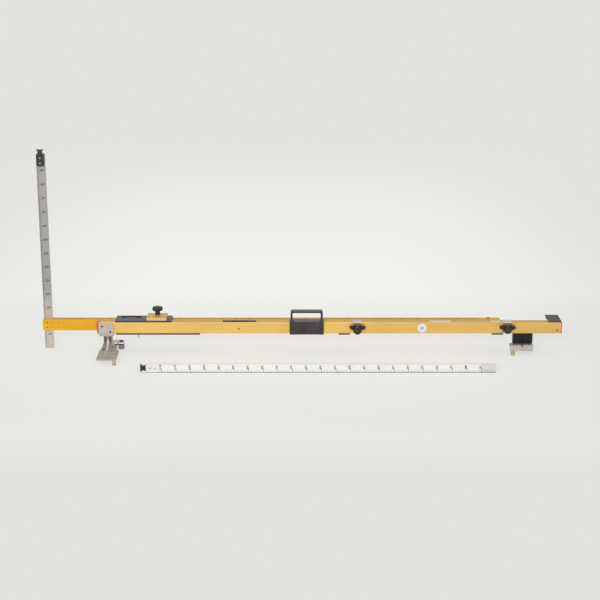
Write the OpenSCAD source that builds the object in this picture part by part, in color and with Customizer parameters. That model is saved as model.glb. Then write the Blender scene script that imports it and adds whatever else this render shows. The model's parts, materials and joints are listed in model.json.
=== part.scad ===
// Railway track gauge with a sliding reach arm, an upright height rule and a loose second rule.
// Millimetres. X runs along the track gauge, +Y points away from the front face, +Z is up.
// Places are worked out in a frame whose X = 0 is a third of the way along the handle and whose
// Y = 0 is the beam's front face; at_home() then centres the whole on its footprint.

/* [Main beam] */
// Left end of the beam's tube
beam_left = -718; // [-719:0.5:-716]
// Right end of the beam's tube
beam_right = 930; // [926:1:940]
// Depth of the beam's section
beam_depth = 28; // [27:0.5:28]
// Height of the beam's section
beam_height = 41.5; // [40:0.5:42.5]
// Height of the beam's underside above the floor
beam_bottom = 70.5; // [70:0.5:73]
// Wall thickness of the beam and of the arm
tube_wall = 3; // [2:0.5:3.5]
// Outer corner radius of both tubes
tube_round = 2; // [1:0.5:2.5]
// Thickness of the left end cap's red flange
cap_flange = 6; // [4:0.5:6]
// Thickness of the right end cap's red flange
right_flange = 4; // [3:0.5:6]

/* [Sliding arm] */
// Left end of the arm's tube, where its end block begins
arm_left = -886; // [-887:0.5:-885]
// Right end of the arm's tube
arm_right = 716; // [708:1:720]
// Distance of the arm's front face behind the beam's front face
arm_front = 35; // [34:0.5:36]
// Depth of the arm's section
arm_depth = 27; // [26:0.5:27]
// Clear space between the arm and each guide that it slides in
arm_gap = 0.4; // [0.3:0.1:0.6]
// Length of the arm's end block outside the tube
end_block_len = 37; // [36:0.5:38]
// Corner radius of the arm's end block
end_block_round = 6; // [3:0.5:8]
// Place of the stop screw along the arm
stop_x = 675; // [640:1:690]

/* [Rules] */
// Width of both rules
rule_width = 31; // [28:0.5:31]
// Thickness of both rules
rule_thick = 6; // [4:0.5:6]
// Length of the height rule
height_rule_len = 711.5; // [650:0.5:800]
// Gap between the height rule's lower end and the floor
height_rule_lift = 0.5; // [0.5:0.5:10]
// Middle of the height rule along X
height_rule_x = -903.5; // [-904:0.5:-903]
// Length of the loose rule
spare_rule_len = 1204; // [1100:1:1250]
// Left end of the loose rule's plate
spare_left = -530; // [-560:1:-500]
// Front face of the loose rule
spare_front = -222; // [-260:1:-190]
// Width of a rule's head
head_width = 26; // [24:0.5:28]
// Length of the part of the head that lies on the rule
head_body = 42; // [36:0.5:50]
// How far the height rule's head stands out past the rule's end
head_reach = 15; // [12:0.5:20]
// Depth of the height rule's head in front of the rule
head_depth = 12; // [8:0.5:12]
// How far the loose rule's head stands out past the rule's end
spare_head_reach = 19.5; // [15:0.5:22]
// Width of the part of the loose rule's head that lies on the rule
spare_body_width = 22; // [18:0.5:24]
// Depth of the loose rule's head behind the rule
spare_head_depth = 8; // [6:0.5:10]
// Radius of the waist cut on each side of the head
waist_r = 9; // [6:0.5:9]

/* [Arm guide] */
// Left end of the top guide plate
guide_left = -659; // [-662:1:-656]
// Length of the top guide plate
guide_len = 201; // [190:1:220]
// Thickness of the top guide plate
guide_thick = 5; // [4:0.5:5]
// Left end of the bottom guide plate
low_guide_left = -657; // [-657:1:-654]
// Length of the bottom guide plate
low_guide_len = 300; // [260:1:320]
// Thickness of the bottom plates
low_thick = 4.5; // [3:0.5:5]
// Thickness of the guide's rear wall
rear_wall = 4.6; // [4:0.1:5]
// Left end of the reading window
window_left = -641; // [-645:1:-635]
// Length of the reading window
window_len = 72; // [70:1:84]

/* [Arm clamp] */
// Left end of the clamp block
block_left = -547; // [-549:1:-545]
// Length of the clamp block
block_len = 71; // [68:1:72]
// Height of the clamp block
block_height = 10; // [9:0.5:12]
// Front face of the clamp block
block_front = 6; // [4:0.5:8]
// Depth of the clamp block
block_depth = 58; // [54:0.5:60]
// Diameter of the mushroom knob
clamp_knob_d = 38; // [34:0.5:40]
// Height of the knob's top above the block
clamp_knob_height = 32; // [28:0.5:36]
// Diameter of the knob's stem
clamp_stem_d = 16; // [14:0.5:18]

/* [Lock screws] */
// Middle of the first lock screw along X
lock_mid_x = 204; // [200:0.5:206]
// Middle of the second lock screw along X
lock_end_x = 738; // [736.5:0.5:740]
// Width of the steel strap over each lock screw
strap_width = 32.5; // [30:0.5:34]
// How far the strap stands out in front of the beam
strap_reach = 9; // [8:0.5:10]
// Thickness of the strap
strap_thick = 3; // [2:0.5:3]
// Width of the wing knob from tip to tip
wing_span = 57; // [52:0.5:60]
// Diameter of the wing knob's hub
hub_d = 26; // [24:0.5:28]
// Length of the first wing knob's hub
hub_mid_len = 28; // [20:0.5:30]
// Length of the second wing knob's hub
hub_end_len = 20; // [18:0.5:30]

/* [Handle] */
// Left end of the handle's saddle
saddle_left = -37; // [-40:0.5:-34]
// Length of the saddle
saddle_len = 121.5; // [118:0.5:124]
// Wall of the saddle around the beam
saddle_wall = 3; // [2:0.5:3.5]
// Length of the hoop
hoop_len = 115; // [110:0.5:116]
// Height of the hoop above the saddle
hoop_height = 37.5; // [36:0.5:50]
// Depth of the hoop's bar and legs
hoop_depth = 25; // [20:0.5:26]
// Thickness of the hoop's bar
hoop_bar = 6.5; // [5:0.5:8]
// Thickness of the hoop's legs
hoop_leg = 7.5; // [6:0.5:8]

/* [Feet] */
// Height of the plane that rests on the rails, which is also the pins' reach below it
rail_plane = 18; // [17:0.5:19]
// Place of the left gauge pin along X
left_pin_x = -649; // [-650:0.5:-648]
// Diameter of the left gauge pin
left_pin_d = 13; // [12:0.5:14]
// Diameter of the left rear pin
rear_pin_d = 22; // [20:0.5:23]
// Left side of the left shoe
shoe_left = -711; // [-712:0.5:-710]
// Right side of the left shoe
shoe_right = -641; // [-641.5:0.5:-640]
// How far the left shoe stands out in front of the beam
shoe_reach = 149; // [145:1:155]
// Thickness of the left shoe with its sole
shoe_thick = 5; // [4.5:0.5:6]
// Left side of the left foot's web
web_left = -701.5; // [-702:0.5:-701]
// Width of the left foot's web at its top
web_width = 30; // [28:0.5:31]
// Left side of the right shoe
right_shoe_left = 747; // [744:0.5:748]
// Width of the right shoe
right_shoe_width = 81; // [80:0.5:86]
// Thickness of the right shoe's floor
right_shoe_thick = 14; // [12:0.5:14]
// Height of the bar across the right shoe's front
shoe_bar_height = 21; // [20:0.5:28]
// Place of the right front gauge pin along X
right_pin_x = 757.5; // [756:0.5:758]
// Diameter of the right front gauge pin
right_pin_d = 15.5; // [13:0.5:16]
// Diameter of the right rear gauge pin
right_rear_pin_d = 8; // [7:0.5:8]

/* [Level and labels] */
// Left end of the spirit level
level_left = -275; // [-280:1:-270]
// Length of the spirit level
level_len = 119; // [110:1:124]
// Width of the spirit level
level_width = 18; // [16:0.5:18]
// Diameter of the level's glass vial
vial_d = 9; // [8:0.5:10]
// Diameter of the round disc on the front face
disc_d = 33; // [30:0.5:34]

/* [Hidden] */
$fn = 48;

// Levels and faces that follow from the driving sizes
beam_top = beam_bottom + beam_height;
beam_mid_z = beam_bottom + beam_height / 2;
beam_mid_y = beam_depth / 2;
arm_bottom = beam_bottom + arm_gap;
arm_height = beam_height - 2 * arm_gap;
arm_top = arm_bottom + arm_height;
arm_back = arm_front + arm_depth;
arm_mid_y = arm_front + arm_depth / 2;
guide_back = arm_back + arm_gap + rear_wall;
guide_top = beam_top + guide_thick;
block_top = guide_top + block_height;
shoe_top = rail_plane + shoe_thick;
right_shoe_top = rail_plane + right_shoe_thick;
cut = 1;
slip = 0.05;

// Outline of the whole object in the working frame, used to centre it
end_plate_back = guide_back + 5;
mid_x = (arm_left - end_block_len + beam_right + right_flange) / 2;
mid_y = (spare_front + end_plate_back) / 2;

// Height rule in the arm's end block, with the brake shoe in front of it
rule_play = 0.3;
brake_left = -917;
brake_len = 20;
brake_front = arm_front + 5.5;
brake_bottom = arm_bottom + 5;
brake_top = arm_top - 5;
arm_end_screw_places = [for (x = [-917, -907, -891, -866])
  for (z = [beam_mid_z - 9.5, beam_mid_z + 9.5]) [x, z]];

// Fasteners: head radius, head height, shank radius and places
small_head_r = 3.2;
small_head_h = 2.6;
small_shank_r = 1.6;
face_head_r = 2.8;
face_head_h = 1.2;
stop_shank_r = 2.5;
bolt_r = 3;
bolt_head_r = 5;
bolt_head_h = 5;
bolt_sink = 6;
wall_tap = 12;
wall_mid_y = guide_back - rear_wall / 2;
top_screw_xs = [-650, -604, -555, -466];
top_screw_places = concat([for (x = top_screw_xs) [x, 8]], [for (x = top_screw_xs) [x, wall_mid_y]]);
end_plate_left = 884;
end_plate_len = 46;
end_plate_step = 4;
end_plate_thick = 6.5;
end_screw_places = [for (x = [900, 922]) [x, beam_mid_y]];
block_screw_places = [for (x = [-539, -484]) for (y = [14, 58]) [x, y]];
guide_adjust_x = -582;
guide_adjust_r = 2;
small_carrier_len = 40;
carrier_mid_left = 138;
carrier_end_left = 685;
wall_screw_xs = [-645, -560, -480];
plate_screw_xs = concat(wall_screw_xs, [-370]);
carrier_mid_screws = [carrier_mid_left + 10, carrier_mid_left + 30];
carrier_end_screws = [carrier_end_left + 10, carrier_end_left + 30];
low_screw_xs = concat(plate_screw_xs, carrier_mid_screws, carrier_end_screws);
saddle_right = saddle_left + saddle_len;
saddle_proud = 1.5;
saddle_screw_xs = [saddle_left + 6, saddle_right - 6];
hoop_screw_xs = [saddle_left + 9, saddle_right - 9];
hoop_tap = 8;
face_screw_places = [[-59, 100], [-59, 81], [-218, 88.8], [918, 82.5]];
window_front = arm_front + 1;
window_depth = 25.5;
vernier_thick = 1;
vernier_rest = 0.2;
vernier_slot_left = -620;
vernier_slot_len = 29;
vernier_slot_front = window_front + 9.5;
vernier_slot_back = window_front + window_depth - 1.5;
vial_z = beam_top - 6;
vial_left = level_left + 20;
vial_right = level_left + level_len - 20;

// Clamp screw over the arm
clamp_x = -511;
clamp_y = arm_mid_y;
clamp_thread_r = 4;
clamp_shoe_r = 7;
clamp_shoe_h = 6;
clamp_shoe_rest = 0.9;
clamp_cap_h = 15;
clamp_shoe_z = arm_top + clamp_shoe_rest;
clamp_stud_z = clamp_shoe_z + clamp_shoe_h + 0.6;

// Lock screws through the beam
lock_thread_r = 4;
lock_pad_r = 5;
lock_pad_tip = arm_front - 1.2;
lock_pad_back = 20;
boss_top = beam_top - 0.5;
boss_height = 34;
hub_gap = 1;
hub_back = -strap_reach - hub_gap;
hub_floor = 5;
wing_tip_r = 5.8;
wing_root_r = 9.5;
wing_root_x = 7.5;
wing_root_z = 5;
wing_tip_z = 7.5;
wing_depth = 11;

// Left foot
bracket_left = -718;
bracket_len = 52;
bracket_thick = 6;
bracket_drop = 8.5;
bracket_below_top = 3;
web_thick = 9;
web_fillet = 18;
web_spread = 4;
rib_width = 7;
rib_left = web_left + 12.5;
rib_reach = 60;
left_pin_y = -142.5;
rear_pin_x = left_pin_x - left_pin_d / 2 + rear_pin_d / 2;
rear_pin_y = 42;
spacer_thick = 5;
spacer_top = rail_plane + spacer_thick;
lug_thick = 4;
lug_top = spacer_top + lug_thick;
lug_front = 27;
lug_back = 59;
lug_right = -634;
pin_spigot_r = 4;
pin_seat = 2;
seat_step = 0.5;
sole_thick = pin_seat;
slit_left = -656;
slit_width = 3.5;
slit_back = 40;
bracket_screws = [[-705, 98.5], [-676, 78.5]];
flange_screw_x = -710;
shoe_screw = [-698, -41];

// Right foot
insulator_left = 762;
insulator_len = 69;
insulator_ribs = 6;
right_shoe_reach = 42;
right_pin_front_y = -32.5;
right_pin_back_x = right_pin_x + (right_pin_d - right_rear_pin_d) / 2;
right_pin_back_y = 20;
rear_spigot_r = 2.5;
shoe_bar_depth = 16;
shoe_floor_left = 764;
shoe_floor_back = 40;
shoe_ear_left = 752;
shoe_ear_back = 28;
shoe_ear_top = rail_plane + 8;
shoe_notch_left = 787;
shoe_notch_width = 5;
shoe_notch_deep = 7;
insulator_bolt_xs = [776, 816];
shoe_stud = [789.5, -18];

// Heads of the rules: their rivets, as heights below the rule's end
rivet_r = 2.6;
rivet_drops = [32, 14];
rivet_proud = 0.6;

// Moves from the working frame to the frame whose origin is on the floor under the middle
module at_home() {
  translate([-mid_x, -mid_y, 0]) children();
}

// A block between two corners
module block(x0, x1, y0, y1, z0, z1) {
  translate([x0, y0, z0]) cube([x1 - x0, y1 - y0, z1 - z0]);
}

// A round bar along Z, along Y or along X
module round_z(x, y, z0, z1, r) {
  translate([x, y, z0]) cylinder(h = z1 - z0, r = r);
}
module round_y(x, z, y0, y1, r) {
  translate([x, y0, z]) rotate([-90, 0, 0]) cylinder(h = y1 - y0, r = r);
}
module round_x(y, z, x0, x1, r) {
  translate([x0, y, z]) rotate([0, 90, 0]) cylinder(h = x1 - x0, r = r);
}

// A rectangle with rounded corners, its lower left corner at the origin
module round_rect(w, h, r) {
  translate([r, 0]) square([w - 2 * r, h]);
  translate([0, r]) square([w, h - 2 * r]);
  for (x = [r, w - r])
    for (y = [r, h - r])
      translate([x, y]) circle(r = r);
}

// A bar along X with a rounded section
module round_bar(x0, x1, y0, z0, depth, height, r) {
  translate([x0, y0, z0])
    rotate([90, 0, 90])
      linear_extrude(x1 - x0) round_rect(depth, height, r);
}

// A tube along X with a rounded outside and a square inside
module box_tube(x0, x1, y0, z0, depth, height) {
  difference() {
    round_bar(x0, x1, y0, z0, depth, height, tube_round);
    block(x0 - cut, x1 + cut, y0 + tube_wall, y0 + depth - tube_wall,
      z0 + tube_wall, z0 + height - tube_wall);
  }
}

// A plate that lies flat, drawn as an outline seen from above
module flat_plate(z0, z1) {
  translate([0, 0, z0]) linear_extrude(z1 - z0) children();
}

// An outline seen from the front, from its lower left corner, and given a depth along Y
module upright_plate(y0, y1) {
  translate([0, y1, 0]) rotate([90, 0, 0]) linear_extrude(y1 - y0) children();
}

// Cap screw, its head's underside at the origin and its shank pointing down
module cap_screw(head_r, head_h, shank_r, shank_len) {
  difference() {
    cylinder(h = head_h, r = head_r);
    translate([0, 0, head_h * 0.45]) cylinder(h = head_h, r = head_r * 0.5, $fn = 6);
  }
  translate([0, 0, -shank_len]) cylinder(h = shank_len + 0.1, r = shank_r);
}

// The bore and counterbore that take a flush cap screw from above
module flush_hole(x, y, z_top, depth) {
  round_z(x, y, z_top - small_head_h, z_top + cut, small_head_r);
  round_z(x, y, z_top - depth, z_top, small_shank_r);
}

// A flush cap screw, its head level with z_top
module flush_screw(x, y, z_top, depth) {
  translate([x, y, z_top - small_head_h])
    cap_screw(small_head_r, small_head_h, small_shank_r, depth - small_head_h);
}

// Small screw in a front face, its head standing proud of the face at y
module face_screw(x, z, y, len) {
  translate([x, y, z]) rotate([90, 0, 0]) cap_screw(face_head_r, face_head_h, small_shank_r, len);
}

// Main beam: gold box section with the holes for its screws, level and lock studs
module main_beam() {
  color([0.92, 0.76, 0.44]) at_home() difference() {
    box_tube(beam_left, beam_right, 0, beam_bottom, beam_depth, beam_height);
    block(level_left, level_left + level_len, beam_mid_y - level_width / 2,
      beam_mid_y + level_width / 2, beam_top - tube_wall - cut, beam_top + cut);
    for (x = [lock_mid_x, lock_end_x]) {
      round_y(x, beam_mid_z, -cut, tube_wall + cut, lock_thread_r + slip);
      round_y(x, beam_mid_z, beam_depth - tube_wall - cut, beam_depth + cut,
        lock_pad_r + slip);
    }
    for (p = concat(face_screw_places, bracket_screws))
      round_y(p[0], p[1], -cut, tube_wall + cut, small_shank_r);
    for (p = concat(top_screw_places, end_screw_places))
      if (p[1] < beam_depth)
        round_z(p[0], p[1], beam_top - tube_wall - cut, beam_top + cut, small_shank_r);
    for (x = concat(low_screw_xs, [flange_screw_x]))
      round_z(x, beam_mid_y, beam_bottom - cut, beam_bottom + tube_wall + cut, small_shank_r);
    for (x = insulator_bolt_xs)
      round_z(x, beam_mid_y, beam_bottom - cut, beam_bottom + tube_wall + cut, bolt_r);
    for (x = saddle_screw_xs)
      round_y(x, beam_mid_z, -cut, tube_wall + cut, small_shank_r);
  }
}

// Red end caps: a flange over the tube's end and a plug inside it
module end_cap(x_face, toward, flange) {
  plug_len = 14;
  x_flange = x_face + toward * flange;
  x_plug = x_face - toward * plug_len;
  round_bar(min(x_face, x_flange), max(x_face, x_flange), 0, beam_bottom,
    beam_depth, beam_height, tube_round);
  block(min(x_face, x_plug), max(x_face, x_plug), tube_wall, beam_depth - tube_wall,
    beam_bottom + tube_wall, beam_top - tube_wall);
}
module beam_end_caps() {
  color([0.88, 0.3, 0.16]) at_home() {
    end_cap(beam_left, -1, cap_flange);
    end_cap(beam_right, 1, right_flange);
  }
}

// Top guide plate: bridges from the beam over the arm, with the reading window
module top_guide_plate() {
  color([0.33, 0.33, 0.35]) at_home() difference() {
    block(guide_left, guide_left + guide_len, 0, guide_back, beam_top, guide_top);
    block(window_left, window_left + window_len, window_front, window_front + window_depth,
      beam_top - cut, guide_top + cut);
    for (p = top_screw_places)
      flush_hole(p[0], p[1], guide_top, guide_thick + cut);
    for (p = block_screw_places)
      round_z(p[0], p[1], beam_top - cut, guide_top + cut, small_shank_r);
    round_z(clamp_x, clamp_y, beam_top - cut, guide_top + cut, clamp_shoe_r + slip);
  }
}

// Bottom guide plate under the beam and the arm
module bottom_guide_plate() {
  color([0.24, 0.22, 0.25]) at_home() difference() {
    block(low_guide_left, low_guide_left + low_guide_len, 0, guide_back,
      beam_bottom - low_thick, beam_bottom);
    for (x = plate_screw_xs)
      round_z(x, beam_mid_y, beam_bottom - low_thick - cut, beam_bottom + cut, small_shank_r);
    for (x = wall_screw_xs)
      round_z(x, wall_mid_y, beam_bottom - low_thick - cut, beam_bottom + cut, small_shank_r);
    round_z(guide_adjust_x, arm_mid_y, beam_bottom - low_thick - cut, beam_bottom + cut,
      guide_adjust_r);
  }
}

// Rear wall of the guide, between the two plates behind the arm
module rear_guide_wall() {
  color([0.3, 0.3, 0.32]) at_home() difference() {
    block(low_guide_left, guide_left + guide_len, guide_back - rear_wall, guide_back,
      beam_bottom, beam_top);
    for (p = top_screw_places)
      if (p[1] > beam_depth)
        round_z(p[0], p[1], beam_top - wall_tap, beam_top + cut, small_shank_r);
    for (x = wall_screw_xs)
      round_z(x, wall_mid_y, beam_bottom - cut, beam_bottom + wall_tap, small_shank_r);
  }
}

// Plastic strip that fills the gap between the beam and the arm inside the guide
module front_guide_strip() {
  color([0.16, 0.16, 0.17]) at_home()
    block(low_guide_left + 2, guide_left + guide_len - 2, beam_depth, arm_front - arm_gap,
      beam_bottom, beam_top);
}

// Vernier plate in the window, with the slot that shows the arm's scale
module vernier_plate() {
  color([0.36, 0.36, 0.38]) at_home() difference() {
    block(window_left, window_left + window_len, window_front, window_front + window_depth,
      beam_top + vernier_rest, beam_top + vernier_rest + vernier_thick);
    block(vernier_slot_left, vernier_slot_left + vernier_slot_len, vernier_slot_front,
      vernier_slot_back, beam_top, guide_top);
  }
}

// Flush screws of the top guide plate, the clamp block and the right end plate
module top_screws() {
  color([0.2, 0.2, 0.22]) at_home() {
    for (p = top_screw_places)
      flush_screw(p[0], p[1], guide_top,
        guide_thick + (p[1] < beam_depth ? tube_wall : wall_tap - 1));
    for (p = end_screw_places)
      flush_screw(p[0], p[1], beam_top + end_plate_thick, end_plate_thick + tube_wall);
    for (p = block_screw_places)
      flush_screw(p[0], p[1], block_top, block_height + guide_thick);
  }
}

// Screws under the beam that hold the bottom guide plate and the two arm carriers
module low_screws() {
  head_h = 1.6;
  color([0.2, 0.2, 0.22]) at_home() {
    for (x = low_screw_xs)
      translate([x, beam_mid_y, beam_bottom - low_thick]) rotate([180, 0, 0])
        cap_screw(small_head_r, head_h, small_shank_r, low_thick + tube_wall);
    for (x = wall_screw_xs)
      translate([x, wall_mid_y, beam_bottom - low_thick]) rotate([180, 0, 0])
        cap_screw(rear_wall / 2, head_h, small_shank_r, low_thick + wall_tap);
  }
}

// Screw that takes up the play under the arm
module guide_adjust_screw() {
  reach = 24.5;
  nut_h = 3;
  nut_r = 4;
  color([0.7, 0.7, 0.69]) at_home() translate([guide_adjust_x, arm_mid_y, beam_bottom - low_thick]) {
    translate([0, 0, -reach]) cylinder(h = reach + low_thick, r = guide_adjust_r);
    translate([0, 0, -nut_h]) cylinder(h = nut_h, r = nut_r, $fn = 6);
  }
}

// Clamp block on the guide plate
module clamp_block() {
  color([0.87, 0.7, 0.4]) at_home() difference() {
    block(block_left, block_left + block_len, block_front, block_front + block_depth,
      guide_top, block_top);
    round_z(clamp_x, clamp_y, guide_top, block_top + cut, clamp_thread_r + slip);
    round_z(clamp_x, clamp_y, guide_top - cut, clamp_stud_z + 0.2, clamp_shoe_r + slip);
    for (p = block_screw_places)
      flush_hole(p[0], p[1], block_top, block_height + cut);
  }
}

// Black mushroom knob on the clamp screw
module clamp_knob() {
  cap_h = clamp_cap_h;
  round_h = 6;
  foot_z = cap_h + 0.4 - clamp_knob_height;
  rim_r = clamp_knob_d / 2;
  stem_r = clamp_stem_d / 2;
  crown = [for (a = [0:15:90]) [rim_r - round_h + round_h * cos(a), cap_h - round_h + round_h * sin(a)]];
  color([0.24, 0.22, 0.22]) at_home()
    translate([clamp_x, clamp_y, block_top + clamp_knob_height - cap_h]) difference() {
      rotate_extrude() polygon(concat([[0, foot_z], [stem_r, foot_z], [stem_r - 1, -4],
        [stem_r, 0], [rim_r - 3, 3]], crown, [[0, cap_h]]));
      translate([0, 0, -clamp_knob_height]) cylinder(h = clamp_knob_height, r = clamp_thread_r);
    }
}

// Clamp screw's stud, fixed in the knob
module clamp_stud() {
  color([0.62, 0.6, 0.58]) at_home()
    round_z(clamp_x, clamp_y, clamp_stud_z, block_top + clamp_knob_height - clamp_cap_h,
      clamp_thread_r);
}

// Brass shoe that the clamp screw presses on the arm
module clamp_shoe() {
  color([0.75, 0.6, 0.3]) at_home()
    round_z(clamp_x, clamp_y, clamp_shoe_z, clamp_shoe_z + clamp_shoe_h, clamp_shoe_r);
}

// Dark plate over the beam's right end, which keeps the stowed arm down
module end_plate() {
  color([0.37, 0.32, 0.31]) at_home() difference() {
    union() {
      block(end_plate_left + end_plate_step, end_plate_left + end_plate_len, 0, end_plate_back,
        beam_top, beam_top + end_plate_thick);
      block(end_plate_left, end_plate_left + end_plate_len, beam_depth + 3, end_plate_back,
        beam_top, beam_top + end_plate_thick);
    }
    for (p = end_screw_places)
      flush_hole(p[0], p[1], beam_top + end_plate_thick, end_plate_thick + cut);
  }
}

// Carrier under the beam that the arm slides on, with a lip behind the arm
module carrier(x0, x1, screw_xs) {
  color([0.24, 0.22, 0.25]) at_home() difference() {
    union() {
      block(x0, x1, 0, guide_back, beam_bottom - low_thick, beam_bottom);
      block(x0, x1, guide_back - rear_wall, guide_back, beam_bottom, beam_bottom + 12);
    }
    for (x = screw_xs)
      round_z(x, beam_mid_y, beam_bottom - low_thick - cut, beam_bottom + cut, small_shank_r);
  }
}
module arm_carrier_mid() {
  carrier(carrier_mid_left, carrier_mid_left + small_carrier_len, carrier_mid_screws);
}
module arm_carrier_end() {
  carrier(carrier_end_left, carrier_end_left + small_carrier_len, carrier_end_screws);
}

// Handle saddle: a black channel round the top, the front, the bottom and the back of the beam
module handle_saddle() {
  flange_left = 22;
  flange_right = 13;
  y_front = -saddle_wall - saddle_proud;
  z0 = beam_bottom - saddle_wall;
  color([0.27, 0.25, 0.26]) at_home() difference() {
    union() {
      block(saddle_left, saddle_right, -saddle_wall, beam_depth + saddle_wall,
        z0, beam_top + saddle_wall);
      block(saddle_left, saddle_left + flange_left, y_front, 0, z0, beam_top);
      block(saddle_right - flange_right, saddle_right, y_front, 0, z0, beam_top);
    }
    round_bar(saddle_left - cut, saddle_right + cut, 0, beam_bottom, beam_depth, beam_height,
      tube_round);
    for (x = saddle_screw_xs)
      round_y(x, beam_mid_z, y_front - cut, cut, small_shank_r);
    for (x = hoop_screw_xs)
      round_z(x, beam_mid_y, beam_top - cut, beam_top + saddle_wall + cut, small_shank_r);
  }
}

// Handle hoop: two flared legs and a flat bar
module handle_hoop() {
  x0 = saddle_left + (saddle_len - hoop_len) / 2;
  x1 = x0 + hoop_len;
  z0 = beam_top + saddle_wall;
  z1 = z0 + hoop_height;
  y0 = beam_mid_y - hoop_depth / 2;
  flare = 5;
  flare_h = 6;
  outer_r = 5;
  inner_r = 4;
  color([0.2, 0.19, 0.2]) at_home() difference() {
    upright_plate(y0, y0 + hoop_depth) difference() {
      translate([x0, z0]) union() {
        square([hoop_len, hoop_height - outer_r]);
        round_rect(hoop_len, hoop_height, outer_r);
      }
      union() {
        translate([x0 + hoop_leg, z0 + flare_h])
          round_rect(hoop_len - 2 * hoop_leg, hoop_height - hoop_bar - flare_h, inner_r);
        polygon([[x0 + hoop_leg + flare, z0 - cut], [x1 - hoop_leg - flare, z0 - cut],
          [x1 - hoop_leg - flare, z0 + 2], [x1 - hoop_leg, z0 + flare_h + inner_r],
          [x0 + hoop_leg, z0 + flare_h + inner_r], [x0 + hoop_leg + flare, z0 + 2]]);
      }
    }
    for (x = hoop_screw_xs)
      round_z(x, beam_mid_y, z0 - cut, z0 + hoop_tap, small_shank_r);
  }
}

// Screws of the handle: two in the saddle's front and two up into the legs
module handle_screws() {
  reach = saddle_wall + saddle_proud;
  color([0.15, 0.15, 0.16]) at_home() {
    for (x = saddle_screw_xs)
      face_screw(x, beam_mid_z, -reach, reach + tube_wall);
    for (x = hoop_screw_xs)
      round_z(x, beam_mid_y, beam_top, beam_top + saddle_wall + hoop_tap, small_shank_r);
  }
}

// Spirit level housing, let into the beam's top wall
module level_housing() {
  depth = 15;
  proud = 0.8;
  window = 54;
  mid = level_left + level_len / 2;
  color([0.24, 0.22, 0.25]) at_home() difference() {
    block(level_left, level_left + level_len, beam_mid_y - level_width / 2,
      beam_mid_y + level_width / 2, beam_top - depth, beam_top + proud);
    round_x(beam_mid_y, vial_z, vial_left, vial_right, vial_d / 2);
    block(mid - window / 2, mid + window / 2, beam_mid_y - vial_d / 2, beam_mid_y + vial_d / 2,
      vial_z, beam_top + proud + cut);
  }
}

// Glass vial of the level
module level_vial() {
  color([0.75, 0.85, 0.6, 0.6]) at_home()
    round_x(beam_mid_y, vial_z, vial_left, vial_right, vial_d / 2);
}

// Small screws on the beam's front face, one of them the level's adjuster
module beam_face_screws() {
  color([0.35, 0.3, 0.26]) at_home()
    for (p = face_screw_places)
      face_screw(p[0], p[1], 0, tube_wall);
}

// Bracket plate that holds the left foot on the beam's front face
module left_foot_bracket() {
  bracket_height = beam_height + bracket_drop - bracket_below_top;
  low_round = 7;
  top_round = 3;
  color([0.74, 0.72, 0.7]) at_home() difference() {
    upright_plate(-bracket_thick, 0) translate([bracket_left, beam_bottom - bracket_drop]) {
      round_rect(bracket_len, bracket_height, low_round);
      translate([0, low_round]) round_rect(bracket_len, bracket_height - low_round, top_round);
    }
    for (p = bracket_screws)
      round_y(p[0], p[1], -bracket_thick - cut, cut, small_shank_r);
  }
}

// Outline of the left foot's plate, seen from above
module left_shoe_outline() {
  polygon([[web_left, 8], [web_left - 7, -18], [shoe_left, -62], [shoe_left, -shoe_reach],
    [shoe_right, -shoe_reach], [shoe_right - 2, -46], [shoe_right - 13, -34],
    [shoe_right - 14, 12], [web_left + web_width, 12], [web_left + web_width, 8]]);
}

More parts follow.
